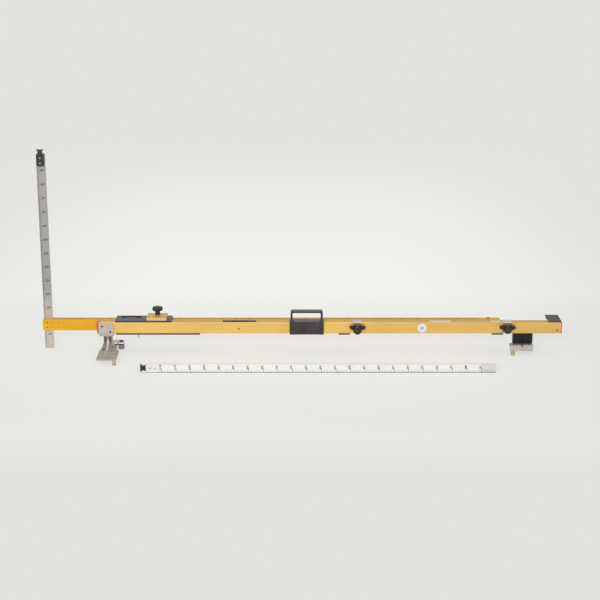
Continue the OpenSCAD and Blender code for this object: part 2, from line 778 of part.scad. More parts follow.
// Left foot casting: a top flange under the beam, the web, its rib, and the shoe
module left_foot_casting() {
  web_right = web_left + web_width;
  toe = 6;
  toe_height = 13;
  flange_h = bracket_drop;
  rib_r = 34;
  rib_foot = 2;
  rib_root = 7;
  rib_right = rib_left + rib_width;
  rib_top = beam_bottom - flange_h;
  rib_mid_z = shoe_top + rib_r + rib_foot;
  color([0.58, 0.55, 0.52]) at_home() difference() {
    union() {
      block(bracket_left, bracket_left + bracket_len, 0, beam_depth,
        beam_bottom - flange_h, beam_bottom);
      upright_plate(0, web_thick) polygon([[web_left, rail_plane + sole_thick],
        [web_right + web_spread, rail_plane + sole_thick], [web_right, beam_bottom],
        [web_left, beam_bottom]]);
      // Toe that widens the web's foot to the left
      upright_plate(-9, 1) polygon([[web_left - toe, shoe_top - 0.5], [web_left + 1, shoe_top - 0.5],
        [web_left + 1, shoe_top + toe_height], [web_left, shoe_top + toe_height]]);
      flat_plate(rail_plane + sole_thick, shoe_top) left_shoe_outline();
      // Lug behind the web, which carries the rear pin
      flat_plate(spacer_top, lug_top) polygon([[web_left, 4], [web_left, lug_back],
        [lug_right, lug_back], [lug_right, lug_front], [web_right + web_spread, lug_front],
        [web_right, 4]]);
      // Fillet between the web and the shoe
      difference() {
        block(web_left, web_right, -web_fillet, 0.5, shoe_top - 0.5, shoe_top + web_fillet);
        round_x(-web_fillet, shoe_top + web_fillet, web_left - cut, web_right + cut,
          web_fillet);
      }
      // Rib down the middle of the web, which curves forward on to the shoe
      difference() {
        block(rib_left, rib_right, -rib_reach, 0.5, shoe_top - 0.5, rib_top);
        round_x(-rib_r - rib_root, rib_mid_z, rib_left - cut, rib_right + cut, rib_r);
        block(rib_left - cut, rib_right + cut, -rib_reach - cut, -rib_root,
          rib_mid_z, rib_top + cut);
        block(rib_left - cut, rib_right + cut, -rib_reach - cut, -rib_r - rib_root,
          shoe_top + rib_foot, rib_top + cut);
      }
    }
    // Slit beside the rear pin's screw
    block(slit_left, slit_left + slit_width, lug_front - cut, slit_back, spacer_top - cut,
      lug_top + cut);
    // Shallow recess in the shoe's top
    block(shoe_left + 16, shoe_right - 5, -shoe_reach + 8, -72, shoe_top - 0.8,
      shoe_top + 0.7);
    round_z(left_pin_x, left_pin_y, rail_plane - cut, shoe_top + cut, pin_spigot_r);
    round_z(rear_pin_x, rear_pin_y, spacer_top - cut, lug_top + cut, pin_spigot_r);
    round_z(shoe_screw[0], shoe_screw[1], rail_plane - cut, shoe_top + cut, small_shank_r);
    round_z(flange_screw_x, beam_mid_y, beam_bottom - flange_h - cut, beam_bottom + cut,
      small_shank_r);
  }
}

// Steel sole under the left shoe, which rests on the rail
module left_sole_plate() {
  color([0.72, 0.71, 0.68]) at_home() difference() {
    flat_plate(rail_plane, rail_plane + sole_thick) left_shoe_outline();
    pin_recess(left_pin_x, left_pin_y, left_pin_d);
    round_z(shoe_screw[0], shoe_screw[1], rail_plane - cut, shoe_top, small_shank_r);
  }
}

// A gauge pin that hangs below the rail plane: a chamfered end, a body, a collar that is let
// into the shoe, and a spigot above
module gauge_pin(x, y, d, top, spigot_r) {
  chamfer = 1;
  translate([x, y, 0]) {
    cylinder(h = chamfer, r1 = d / 2 - chamfer, r2 = d / 2);
    translate([0, 0, chamfer]) cylinder(h = rail_plane - chamfer, r = d / 2);
    translate([0, 0, rail_plane]) cylinder(h = pin_seat, r = d / 2 + seat_step);
    cylinder(h = top, r = spigot_r);
  }
}

// The seat that a shoe's underside has for a pin's collar
module pin_recess(x, y, d) {
  round_z(x, y, rail_plane - cut, rail_plane + pin_seat, d / 2 + seat_step + slip);
}
module left_front_pin() {
  color([0.86, 0.8, 0.55]) at_home()
    gauge_pin(left_pin_x, left_pin_y, left_pin_d, shoe_top - 1, pin_spigot_r);
}
module left_rear_pin() {
  color([0.7, 0.69, 0.68]) at_home() difference() {
    gauge_pin(rear_pin_x, rear_pin_y, rear_pin_d, lug_top, pin_spigot_r);
    round_z(rear_pin_x, rear_pin_y, 8, lug_top + cut, small_shank_r);
  }
}

// Dark spacer between the lug and the rear pin
module left_rear_spacer() {
  color([0.2, 0.16, 0.13]) at_home() difference() {
    block(web_left + web_width + web_spread, rear_pin_x + 7, lug_front + 0.5, lug_back - 2,
      rail_plane, spacer_top);
    pin_recess(rear_pin_x, rear_pin_y, rear_pin_d);
    round_z(rear_pin_x, rear_pin_y, rail_plane - cut, spacer_top + cut, pin_spigot_r);
  }
}

// Screws of the left foot
module left_foot_screws() {
  color([0.42, 0.36, 0.32]) at_home() {
    for (p = bracket_screws)
      translate([p[0], -bracket_thick, p[1]]) rotate([90, 0, 0])
        cap_screw(3.4, 1.4, small_shank_r, bracket_thick + tube_wall);
    translate([rear_pin_x, rear_pin_y, lug_top]) cap_screw(6.2, 4, small_shank_r, 19);
    translate([shoe_screw[0], shoe_screw[1], shoe_top])
      cap_screw(3.6, 1.6, small_shank_r, shoe_thick);
    translate([flange_screw_x, beam_mid_y, beam_bottom - bracket_drop]) rotate([180, 0, 0])
      cap_screw(3.6, 2, small_shank_r, bracket_drop + tube_wall);
  }
}

// Black ribbed block that keeps the right shoe electrically apart from the beam
module right_insulator() {
  groove_r = 1.6;
  pitch = insulator_len / insulator_ribs;
  x1 = insulator_left + insulator_len;
  color([0.15, 0.14, 0.15]) at_home() difference() {
    block(insulator_left, x1, 0, beam_depth, right_shoe_top, beam_bottom);
    for (i = [1:insulator_ribs - 1])
      for (y = [0, beam_depth])
        round_z(insulator_left + i * pitch, y, right_shoe_top - cut, beam_bottom + cut,
          groove_r);
    for (x = insulator_bolt_xs)
      round_z(x, beam_mid_y, right_shoe_top - cut, beam_bottom + cut, bolt_r);
  }
}

// Right shoe, which rests on the far rail: a bar across the front, the floor that carries the
// insulator, and an ear for the rear pin
module right_shoe() {
  x1 = right_shoe_left + right_shoe_width;
  bar_back = -right_shoe_reach + shoe_bar_depth;
  bar_top = rail_plane + shoe_bar_height;
  color([0.7, 0.68, 0.66]) at_home() difference() {
    union() {
      block(right_shoe_left, x1, -right_shoe_reach, bar_back, rail_plane, bar_top);
      block(shoe_floor_left, x1, bar_back - cut, shoe_floor_back, rail_plane, right_shoe_top);
      block(shoe_ear_left, shoe_floor_left + cut, bar_back - cut, shoe_ear_back, rail_plane,
        shoe_ear_top);
    }
    block(shoe_notch_left, shoe_notch_left + shoe_notch_width, -right_shoe_reach - cut,
      bar_back + cut, bar_top - shoe_notch_deep, bar_top + cut);
    round_z(right_pin_x, right_pin_front_y, rail_plane - cut, right_shoe_top, pin_spigot_r);
    pin_recess(right_pin_x, right_pin_front_y, right_pin_d);
    round_z(right_pin_back_x, right_pin_back_y, rail_plane - cut, shoe_ear_top + cut,
      rear_spigot_r);
    pin_recess(right_pin_back_x, right_pin_back_y, right_rear_pin_d);
    for (x = insulator_bolt_xs) {
      round_z(x, beam_mid_y, rail_plane - cut, right_shoe_top + cut, bolt_r);
      round_z(x, beam_mid_y, rail_plane - cut, rail_plane + bolt_sink, bolt_head_r + 0.2);
    }
    round_z(shoe_stud[0], shoe_stud[1], right_shoe_top - 8, right_shoe_top + cut, stop_shank_r);
  }
}
module right_front_pin() {
  color([0.8, 0.72, 0.5]) at_home()
    gauge_pin(right_pin_x, right_pin_front_y, right_pin_d, right_shoe_top - 1, pin_spigot_r);
}
module right_rear_pin() {
  color([0.8, 0.72, 0.5]) at_home()
    gauge_pin(right_pin_back_x, right_pin_back_y, right_rear_pin_d, shoe_ear_top - 1,
      rear_spigot_r);
}

// Bolts up through the insulator, and the screw in the shoe's top
module right_foot_screws() {
  color([0.3, 0.28, 0.27]) at_home() {
    for (x = insulator_bolt_xs)
      translate([x, beam_mid_y, rail_plane + bolt_sink]) rotate([180, 0, 0])
        cap_screw(bolt_head_r, bolt_head_h, bolt_r, beam_bottom + tube_wall - rail_plane - bolt_sink);
    translate([shoe_stud[0], shoe_stud[1], right_shoe_top]) cap_screw(4.2, 3, stop_shank_r, 8);
  }
}

// Blank white labels on the beam's top
module blank_labels() {
  thick = 0.4;
  corner = 1.5;
  long_label = [462, 7, 78, 14];
  short_label = [680, 8, 34, 12];
  color([0.93, 0.93, 0.9]) at_home()
    for (b = [long_label, short_label])
      flat_plate(beam_top, beam_top + thick) translate([b[0], b[1]]) round_rect(b[2], b[3], corner);
}

// Round white disc with a raised grey middle on the front face
module face_disc() {
  rim = 0.6;
  x = 435.5;
  z = beam_mid_z - 0.5;
  color([0.93, 0.92, 0.9]) at_home() {
    round_y(x, z, -rim, 0, disc_d / 2);
    round_y(x, z, -rim - 0.5, 0, disc_d / 4);
  }
}

// Steel strap over a lock screw, on the beam's top and standing out in front of it
module lock_strap(x) {
  color([0.77, 0.77, 0.75]) at_home()
    block(x - strap_width / 2, x + strap_width / 2, -strap_reach, beam_depth - 5,
      beam_top, beam_top + strap_thick);
}
module lock_strap_mid() {
  lock_strap(lock_mid_x);
}
module lock_strap_end() {
  lock_strap(lock_end_x);
}

// Bronze boss under the strap, which the lock screw is threaded through
module lock_boss(x) {
  color([0.5, 0.36, 0.2]) at_home() difference() {
    block(x - strap_width / 2 + 1, x + strap_width / 2 - 1, -strap_reach + 1, 0,
      boss_top - boss_height, boss_top);
    round_y(x, beam_mid_z, -strap_reach - cut, cut, lock_thread_r + slip);
  }
}
module lock_boss_mid() {
  lock_boss(lock_mid_x);
}
module lock_boss_end() {
  lock_boss(lock_end_x);
}

// Points along an arc round c, from angle a0 to angle a1
function arc(c, r, a0, a1, n) =
  [for (i = [0:n]) let (a = a0 + (a1 - a0) * i / n) c + r * [cos(a), sin(a)]];

// A bar with two round ends of different size, its sides tangent to both
module tapered_bar(p, r1, q, r2) {
  lean = atan2(q[1] - p[1], q[0] - p[0]);
  open = acos((r1 - r2) / norm(q - p));
  polygon(concat(arc(q, r2, lean - open, lean + open, 12),
    arc(p, r1, lean + open, lean + 360 - open, 16)));
}

// Black wing knob of a lock screw, its hub facing forward
module wing_knob(x, hub_len) {
  hub_front = hub_back - hub_len;
  tip_x = wing_span / 2 - wing_tip_r;
  color([0.16, 0.16, 0.17]) at_home() difference() {
    union() {
      round_y(x, beam_mid_z, hub_front, hub_back, hub_d / 2);
      for (side = [-1, 1])
        upright_plate(hub_back - wing_depth, hub_back) translate([x, beam_mid_z])
          tapered_bar([side * wing_root_x, wing_root_z], wing_root_r,
            [side * tip_x, wing_tip_z], wing_tip_r);
    }
    round_y(x, beam_mid_z, hub_front - cut, hub_front + 1.5, hub_d * 0.28);
    round_y(x, beam_mid_z, hub_front + hub_floor, hub_back + cut, lock_thread_r);
  }
}
module lock_knob_mid() {
  wing_knob(lock_mid_x, hub_mid_len);
}
module lock_knob_end() {
  wing_knob(lock_end_x, hub_end_len);
}

// Stud of a lock screw, fixed in the knob
module lock_stud(x, hub_len) {
  color([0.72, 0.71, 0.7]) at_home()
    round_y(x, beam_mid_z, hub_back - hub_len + hub_floor, lock_pad_back - 0.6, lock_thread_r);
}
module lock_stud_mid() {
  lock_stud(lock_mid_x, hub_mid_len);
}
module lock_stud_end() {
  lock_stud(lock_end_x, hub_end_len);
}

// Pad that a lock screw presses on the arm, through the beam's rear wall
module lock_pad(x) {
  color([0.85, 0.83, 0.76]) at_home()
    round_y(x, beam_mid_z, lock_pad_back, lock_pad_tip, lock_pad_r);
}
module lock_pad_mid() {
  lock_pad(lock_mid_x);
}
module lock_pad_end() {
  lock_pad(lock_end_x);
}

// Sliding arm: box section with the holes for its end screws and its stop screw
module sliding_arm() {
  color([0.9, 0.66, 0.24]) at_home() difference() {
    box_tube(arm_left, arm_right, arm_front, arm_bottom, arm_depth, arm_height);
    for (p = arm_end_screw_places)
      if (p[0] > arm_left)
        round_y(p[0], p[1], arm_front - cut, arm_front + tube_wall + cut, small_shank_r);
    round_z(stop_x, arm_mid_y, arm_top - tube_wall - cut, arm_top + cut, stop_shank_r);
  }
}

// End block of the arm: round-cornered outside, a tongue inside the tube, and the rule's slot
module arm_end_block() {
  x0 = arm_left - end_block_len;
  tongue_len = 30;
  color([0.92, 0.66, 0.16]) at_home() difference() {
    union() {
      upright_plate(arm_front, arm_back) translate([x0, arm_bottom]) union() {
        round_rect(end_block_len, arm_height, end_block_round);
        translate([end_block_len / 2, 0]) square([end_block_len / 2, arm_height]);
      }
      block(arm_left - cut, arm_left + tongue_len, arm_front + tube_wall,
        arm_back - tube_wall, arm_bottom + tube_wall, arm_top - tube_wall);
    }
    block(height_rule_x - rule_width / 2 - rule_play, height_rule_x + rule_width / 2 + rule_play,
      arm_mid_y - rule_thick / 2 - rule_play, arm_mid_y + rule_thick / 2 + rule_play,
      arm_bottom - cut, arm_top + cut);
    block(brake_left, brake_left + brake_len, brake_front, arm_mid_y, brake_bottom, brake_top);
    for (p = arm_end_screw_places)
      round_y(p[0], p[1], arm_front - cut, brake_front, small_shank_r);
  }
}

// Plastic shoe in the end block, which its two dark screws press on the height rule
module rule_brake_shoe() {
  color([0.2, 0.2, 0.21]) at_home()
    block(brake_left, brake_left + brake_len, brake_front,
      arm_mid_y - rule_thick / 2 - rule_play, brake_bottom, brake_top);
}

// Plug in the arm's right end
module arm_right_plug() {
  inset = 2;
  plug_len = 16;
  head_len = 2;
  color([0.16, 0.16, 0.17]) at_home() {
    block(arm_right - plug_len, arm_right, arm_front + tube_wall, arm_back - tube_wall,
      arm_bottom + tube_wall, arm_top - tube_wall);
    block(arm_right, arm_right + head_len, arm_front + inset, arm_back - inset,
      arm_bottom + inset, arm_top - inset);
  }
}

// Screws of the arm's left end, in two rows
module arm_end_screws() {
  head_h = 0.8;
  color([0.3, 0.22, 0.12]) at_home()
    for (p = arm_end_screw_places)
      translate([p[0], arm_front, p[1]]) rotate([90, 0, 0])
        cap_screw(2.4, head_h, small_shank_r, brake_front - arm_front);
}

// Stop screw on the arm's top, which meets the guide plate at full reach
module arm_stop_screw() {
  color([0.6, 0.55, 0.48]) at_home()
    translate([stop_x, arm_mid_y, arm_top]) cap_screw(5, 5, stop_shank_r, tube_wall + 4);
}

// Head of a rule, drawn upright with the rule's end at z = 0, in front of a plate at y = 0..thick
module rule_head(reach, front_y, back_y, body_w, body_front, body_back) {
  w = head_width;
  waist_z = reach / 2 - 1;
  difference() {
    union() {
      block(-body_w / 2, body_w / 2, body_front, body_back, -head_body, 0);
      block(-w / 2, w / 2, front_y, back_y, 0, reach);
    }
    for (side = [-1, 1])
      round_y(side * (w / 2 - 6 + waist_r), waist_z, front_y - cut, back_y + cut, waist_r);
  }
}
module rivet_pair(y0, y1) {
  for (drop = rivet_drops)
    round_y(0, -drop, y0, y1, rivet_r);
}

// Height rule, upright in the arm's slot
module height_rule() {
  z0 = height_rule_lift;
  color([0.66, 0.65, 0.63]) at_home() difference() {
    block(height_rule_x - rule_width / 2, height_rule_x + rule_width / 2,
      arm_mid_y - rule_thick / 2, arm_mid_y + rule_thick / 2, z0, z0 + height_rule_len);
    translate([height_rule_x, 0, z0 + height_rule_len])
      rivet_pair(arm_mid_y - rule_thick, arm_mid_y + rule_thick);
  }
}
module height_rule_head() {
  plate_front = arm_mid_y - rule_thick / 2;
  color([0.13, 0.13, 0.14]) at_home()
    translate([height_rule_x, 0, height_rule_lift + height_rule_len]) difference() {
      rule_head(head_reach, plate_front - head_depth, plate_front + rule_thick,
        head_width, plate_front - head_depth, plate_front);
      rivet_pair(plate_front - head_depth - cut, plate_front + cut);
    }
}
module height_rule_rivets() {
  plate_front = arm_mid_y - rule_thick / 2;
  color([0.8, 0.78, 0.75]) at_home()
    translate([height_rule_x, 0, height_rule_lift + height_rule_len])
      rivet_pair(plate_front - head_depth - rivet_proud, plate_front + rule_thick);
}

// The loose rule stands on its long edge: upright forms are laid over to the left
module laid_over() {
  translate([spare_left, spare_front, rule_width / 2]) rotate([0, -90, 0]) children();
}
module spare_rule() {
  color([0.86, 0.85, 0.82]) at_home() laid_over() difference() {
    block(-rule_width / 2, rule_width / 2, 0, rule_thick, -spare_rule_len, 0);
    rivet_pair(-cut, rule_thick + cut);
  }
}
module spare_rule_head() {
  head_back = rule_thick + spare_head_depth;
  color([0.13, 0.13, 0.14]) at_home() laid_over() difference() {
    rule_head(spare_head_reach, 0, head_back, spare_body_width, rule_thick, head_back);
    rivet_pair(rule_thick - cut, head_back + cut);
  }
}
module spare_rule_rivets() {
  color([0.8, 0.78, 0.75]) at_home() laid_over()
    rivet_pair(0, rule_thick + spare_head_depth + rivet_proud);
}

main_beam();
beam_end_caps();
top_guide_plate();
bottom_guide_plate();
rear_guide_wall();
front_guide_strip();
vernier_plate();
top_screws();
low_screws();
guide_adjust_screw();
clamp_block();
end_plate();
arm_carrier_mid();
arm_carrier_end();
handle_saddle();
handle_hoop();
handle_screws();
level_housing();
level_vial();
beam_face_screws();
left_foot_bracket();
left_foot_casting();
left_sole_plate();
left_front_pin();
left_rear_pin();
left_rear_spacer();
left_foot_screws();
right_insulator();
right_shoe();
right_front_pin();
right_rear_pin();
right_foot_screws();
blank_labels();
face_disc();
lock_strap_mid();
lock_boss_mid();
lock_strap_end();
lock_boss_end();
clamp_knob();
clamp_stud();
clamp_shoe();
lock_knob_mid();
lock_stud_mid();
lock_pad_mid();
lock_knob_end();
lock_stud_end();
lock_pad_end();
sliding_arm();
arm_end_block();
arm_right_plug();
rule_brake_shoe();
arm_end_screws();
arm_stop_screw();
height_rule();
height_rule_head();
height_rule_rivets();
spare_rule();
spare_rule_head();
spare_rule_rivets();
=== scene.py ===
import json
import math

import bmesh
import bpy
from bpy.props import FloatProperty, FloatVectorProperty, IntProperty, PointerProperty
from mathutils import Color, Matrix, Vector

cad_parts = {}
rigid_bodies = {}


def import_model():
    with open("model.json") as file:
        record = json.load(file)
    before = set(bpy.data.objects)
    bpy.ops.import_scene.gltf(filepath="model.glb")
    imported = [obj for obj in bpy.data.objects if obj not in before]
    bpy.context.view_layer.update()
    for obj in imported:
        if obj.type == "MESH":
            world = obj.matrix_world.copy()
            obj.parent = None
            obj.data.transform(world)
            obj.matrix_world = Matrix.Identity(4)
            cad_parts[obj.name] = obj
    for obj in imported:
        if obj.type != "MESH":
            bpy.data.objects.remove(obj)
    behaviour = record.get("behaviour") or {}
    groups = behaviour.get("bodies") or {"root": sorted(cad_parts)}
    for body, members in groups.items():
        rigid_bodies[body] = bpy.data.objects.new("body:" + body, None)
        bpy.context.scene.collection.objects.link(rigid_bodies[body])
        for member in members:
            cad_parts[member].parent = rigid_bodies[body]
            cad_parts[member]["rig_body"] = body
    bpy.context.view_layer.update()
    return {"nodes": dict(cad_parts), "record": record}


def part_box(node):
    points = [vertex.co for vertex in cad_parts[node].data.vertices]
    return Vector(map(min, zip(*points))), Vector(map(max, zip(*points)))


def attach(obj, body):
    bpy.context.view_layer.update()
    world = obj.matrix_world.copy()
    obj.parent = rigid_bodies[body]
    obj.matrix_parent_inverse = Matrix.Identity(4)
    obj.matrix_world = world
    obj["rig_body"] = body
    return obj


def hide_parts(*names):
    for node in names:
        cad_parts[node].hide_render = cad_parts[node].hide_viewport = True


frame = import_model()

bl_info = {
    "name": "Track Gauge",
    "version": (1, 0, 0),
    "blender": (4, 5, 0),
    "location": "View3D > Sidebar > Track Gauge",
    "description": "Dresses a railway track gauge with its finishes, rounded edges and divisions",
    "category": "Object",
}

SLOTS = {part["node"]: part["material_slot"] for part in frame["record"]["subparts"]}
MM = 0.001
RIGHT = Vector((1, 0, 0))
AWAY = Vector((0, 1, 0))
UP = Vector((0, 0, 1))
WHITE = (0.9, 0.9, 0.88, 1)
ALUMINIUM = (0.68, 0.67, 0.65, 1)
MATT = {"Specular IOR Level": 0.2}
WELD = 0.001 * MM
FLAT_UNDER = math.radians(1)
ROUNDED_OVER = math.radians(32)
CREASED_OVER = math.radians(36)


# Nodes of a material, written as expressions

class Wire:
    """An output of a node, on which arithmetic adds Math nodes."""

    def __init__(self, sheet, socket):
        self.sheet = sheet
        self.socket = socket

    def math(self, operation, first, second):
        return self.sheet.add("ShaderNodeMath", {"operation": operation}, {0: first, 1: second})

    def __add__(self, other):
        return self.math("ADD", self, other)

    def __mul__(self, other):
        return self.math("MULTIPLY", self, other)

    def __sub__(self, other):
        return self.math("SUBTRACT", self, other)

    def __rsub__(self, other):
        return self.math("SUBTRACT", other, self)

    def __abs__(self):
        return self.math("ABSOLUTE", self, 0.0)

    __radd__ = __add__
    __rmul__ = __mul__


class Sheet:
    """The node tree of a material or a world."""

    def __init__(self, owner):
        owner.use_nodes = True
        self.owner = owner
        self.tree = owner.node_tree
        self.tree.nodes.clear()

    def add(self, kind, settings=None, inputs=None, output=0):
        """Adds a node, sets it up, joins its inputs and gives one of its outputs."""
        node = self.tree.nodes.new(kind)
        for name, value in (settings or {}).items():
            setattr(node, name, value)
        for name, value in (inputs or {}).items():
            if isinstance(value, Wire):
                self.tree.links.new(value.socket, node.inputs[name])
            else:
                node.inputs[name].default_value = value
        return Wire(self, node.outputs[output]) if node.outputs else None

    def spot(self, scale=(1, 1, 1), centre=(0, 0, 0)):
        """The place on the object, measured from a centre and stretched."""
        place = self.add("ShaderNodeTexCoord", output="Object")
        moved = self.add("ShaderNodeVectorMath", {"operation": "SUBTRACT"}, {0: place, 1: centre})
        return self.add("ShaderNodeVectorMath", {"operation": "MULTIPLY"}, {0: moved, 1: scale})

    def noise(self, scale, stretch=(1, 1, 1), detail=3.0):
        """Cloudy pattern, from 0 to 1, with so many cells a metre."""
        return self.add("ShaderNodeTexNoise", None,
                        {"Vector": self.spot(stretch), "Scale": scale, "Detail": detail})

    def step(self, value, low, high, bottom=0.0, top=1.0):
        """A soft step from bottom to top while the value goes from low to high."""
        return self.add("ShaderNodeMapRange", {"interpolation_type": "SMOOTHSTEP"},
                        {"Value": value, "From Min": low, "From Max": high,
                         "To Min": bottom, "To Max": top})

    def between(self, low, high, factor):
        """A blend of two colours."""
        return self.add("ShaderNodeMix", {"data_type": "RGBA"}, {0: factor, 6: low, 7: high}, 2)

    def thread(self, pattern, width):
        """Thin lines where a pattern crosses its middle."""
        return self.step(abs(pattern - 0.5), 0.0, width, 1.0, 0.0)

    def axis(self, letter, start=0.0):
        """How far along X, Y or Z of the frame, in millimetres from a start."""
        split = self.add("ShaderNodeSeparateXYZ", None, {0: self.spot()}, output=letter)
        return split * (1 / MM) - start / MM

    def band(self, value, low, high, soft):
        """1 where a value lies between low and high, with soft ends."""
        return self.step(value, low - soft, low + soft) * self.step(value, high - soft, high + soft,
                                                                     1.0, 0.0)

    def facing_up(self):
        """1 on faces that look upward."""
        normal = self.add("ShaderNodeNewGeometry", output="Normal")
        height = self.add("ShaderNodeSeparateXYZ", None, {0: normal}, output="Z")
        return self.step(height, 0.6, 0.95)

    def worn(self, amount):
        """The rounded edges, broken up along their length: worn places on most finishes, a painted
        highlight on the knobs.
        """
        edge = self.add("ShaderNodeAttribute", {"attribute_name": "worn"}, output="Fac")
        return edge * self.step(self.noise(70, detail=4.0), 0.42, 0.62) * amount

    def scratched(self, amount, stretch=(1, 5, 5)):
        """Fine scratches in a few places."""
        lines = self.thread(self.noise(55, stretch, 1.0), 0.012)
        return lines * self.step(self.noise(14), 0.5, 0.66) * amount

    def surface(self, base, roughness, relief=None, depth=0.0, **fixed):
        """Closes the tree with one shader and gives the material."""
        inputs = {"Base Color": base, "Roughness": roughness, **fixed}
        if relief is not None:
            inputs["Normal"] = self.add("ShaderNodeBump", None,
                                        {"Height": relief, "Strength": 1.0, "Distance": depth})
        shader = self.add("ShaderNodeBsdfPrincipled", None, inputs)
        self.add("ShaderNodeOutputMaterial", None, {"Surface": shader})
        return self.owner


def paint(colour, level=1.0):
    """A colour of the panel as a shader's colour, made lighter or darker."""
    linear = Color(colour[:3]).from_srgb_to_scene_linear()
    return (*[min(channel * level, 1.0) for channel in linear], 1.0)


# Finishes: one for each material slot, and some for pieces that differ from their slot

def anodised(sheet, colour, grain_way=(6, 900, 900), darkening=0.0, metal=0.3, **fixed):
    """Coloured anodising on an extrusion, with the die's fine lines and a given darkening, which
    the beam uses for painted shade on its top faces.
    """
    lines = sheet.noise(1.0, grain_way, 2.0)
    clouds = sheet.noise(5.0, (1, 3, 3), 3.0)
    tone = sheet.between(paint(colour, 0.9), paint(colour, 1.06), sheet.step(clouds, 0.3, 0.7))
    tone = sheet.between(tone, paint(colour, 0.78), sheet.step(lines, 0.45, 0.75) * 0.28)
    # Darkening given by the caller: on the beam, painted shade on its top faces.
    tone = sheet.between(tone, paint(colour, 0.55), darkening)
    tone = sheet.between(tone, ALUMINIUM, sheet.scratched(0.5, (1, 9, 9)))
    tone = sheet.between(tone, ALUMINIUM, sheet.worn(0.7))
    rough = 0.4 + lines * 0.12 - clouds * 0.08
    return sheet.surface(tone, rough, lines, 0.02 * MM, Metallic=metal, **fixed)


def beam_gold(sheet, colours):
    """The main beam, with painted shade on its top faces and darker towards its right end."""
    right = sheet.step(sheet.axis("X"), 440, 900)
    # Upward faces are darkened as painted shade for the light falling from the front; the right end
    # is darker too.
    return anodised(sheet, colours.gold, darkening=sheet.facing_up() * 0.2 + right * 0.3)


def clamp_gold(sheet, colours):
    return anodised(sheet, colours.block_gold, (90, 90, 900))


def arm_orange(sheet, colours):
    return anodised(sheet, colours.orange, metal=0.0, **MATT)


def dark_anodised(sheet, colour, shine=0.4, **fixed):
    """Black or brown anodising over a blasted surface, with rubbed edges."""
    grit = sheet.noise(1400, detail=2.0)
    clouds = sheet.noise(18, detail=4.0)
    tone = sheet.between(paint(colour, 0.8), paint(colour, 1.25), sheet.step(clouds, 0.35, 0.65))
    tone = sheet.between(tone, paint(colour, 3.0), sheet.step(grit, 0.6, 0.8) * 0.35)
    tone = sheet.between(tone, ALUMINIUM, sheet.scratched(0.22))
    tone = sheet.between(tone, ALUMINIUM, sheet.worn(0.3))
    return sheet.surface(tone, shine + clouds * 0.14, grit, 0.03 * MM, **fixed)


def guide_black(sheet, colours):
    return dark_anodised(sheet, colours.black, 0.22)


def end_plate_brown(sheet, colours):
    return dark_anodised(sheet, colours.brown, 0.42)


def handle_black(sheet, colours):
    return dark_anodised(sheet, colours.handle, 0.2)


def level_black(sheet, colours):
    return dark_anodised(sheet, colours.black, 0.36, **MATT)


def moulded(sheet, colour, shine, grit_depth=0.02, lightened=1.5, **fixed):
    """Moulded plastic with a light eggshell texture and lighter rounded corners: rubbing on caps,
    strip and pads, a painted highlight on the knobs.
    """
    skin = sheet.noise(900, detail=1.0)
    clouds = sheet.noise(30, detail=3.0)
    tone = sheet.between(paint(colour, 0.88), paint(colour, 1.1), clouds)
    # Rounded edges lightened: wear on most pieces, painted highlight on the knobs.
    tone = sheet.between(tone, paint(colour, lightened), sheet.worn(0.5))
    return sheet.surface(tone, shine + clouds * 0.12, skin, grit_depth * MM, **fixed)


def cap_red(sheet, colours):
    return moulded(sheet, colours.cap_red, 0.38)


def strip_plastic(sheet, colours):
    return moulded(sheet, colours.black, 0.5, **MATT)


def pad_plastic(sheet, colours):
    return moulded(sheet, colours.pad, 0.45)


def knob_black(sheet, colours):
    # Rounded edges ten times lighter: a painted highlight standing for the lamp's glint on knob
    # tips, the plug and rule heads.
    return moulded(sheet, colours.phenolic, 0.28, 0.01, 10)


def insulator_black(sheet, colours):
    """Laminated insulator, with pressing lines that run up and down."""
    layers = sheet.noise(1.0, (700, 40, 14), 3.0)
    clouds = sheet.noise(40, detail=3.0)
    tone = sheet.between(paint(colours.insulator, 0.7), paint(colours.insulator, 1.9),
                         sheet.step(layers, 0.45, 0.75))
    tone = sheet.between(tone, paint(colours.insulator, 3.0), sheet.worn(0.5))
    return sheet.surface(tone, 0.42 + clouds * 0.15, layers, 0.05 * MM, **MATT)


def cast(sheet, tone, shade):
    """Cast alloy with a sand skin, shaded pits and bright rubbed edges."""
    skin = sheet.noise(520, detail=4.0)
    stains = sheet.noise(38, detail=5.0)
    tone = sheet.between(tone, shade, sheet.step(stains, 0.6, 0.3) * 0.4)
    tone = sheet.between(tone, shade, sheet.step(skin, 0.58, 0.75) * 0.5)
    tone = sheet.between(tone, ALUMINIUM, sheet.scratched(0.5, (1, 1, 1)))
    tone = sheet.between(tone, WHITE, sheet.worn(0.5))
    return sheet.surface(tone, 0.44 + stains * 0.16, skin, 0.12 * MM, Metallic=0.2)


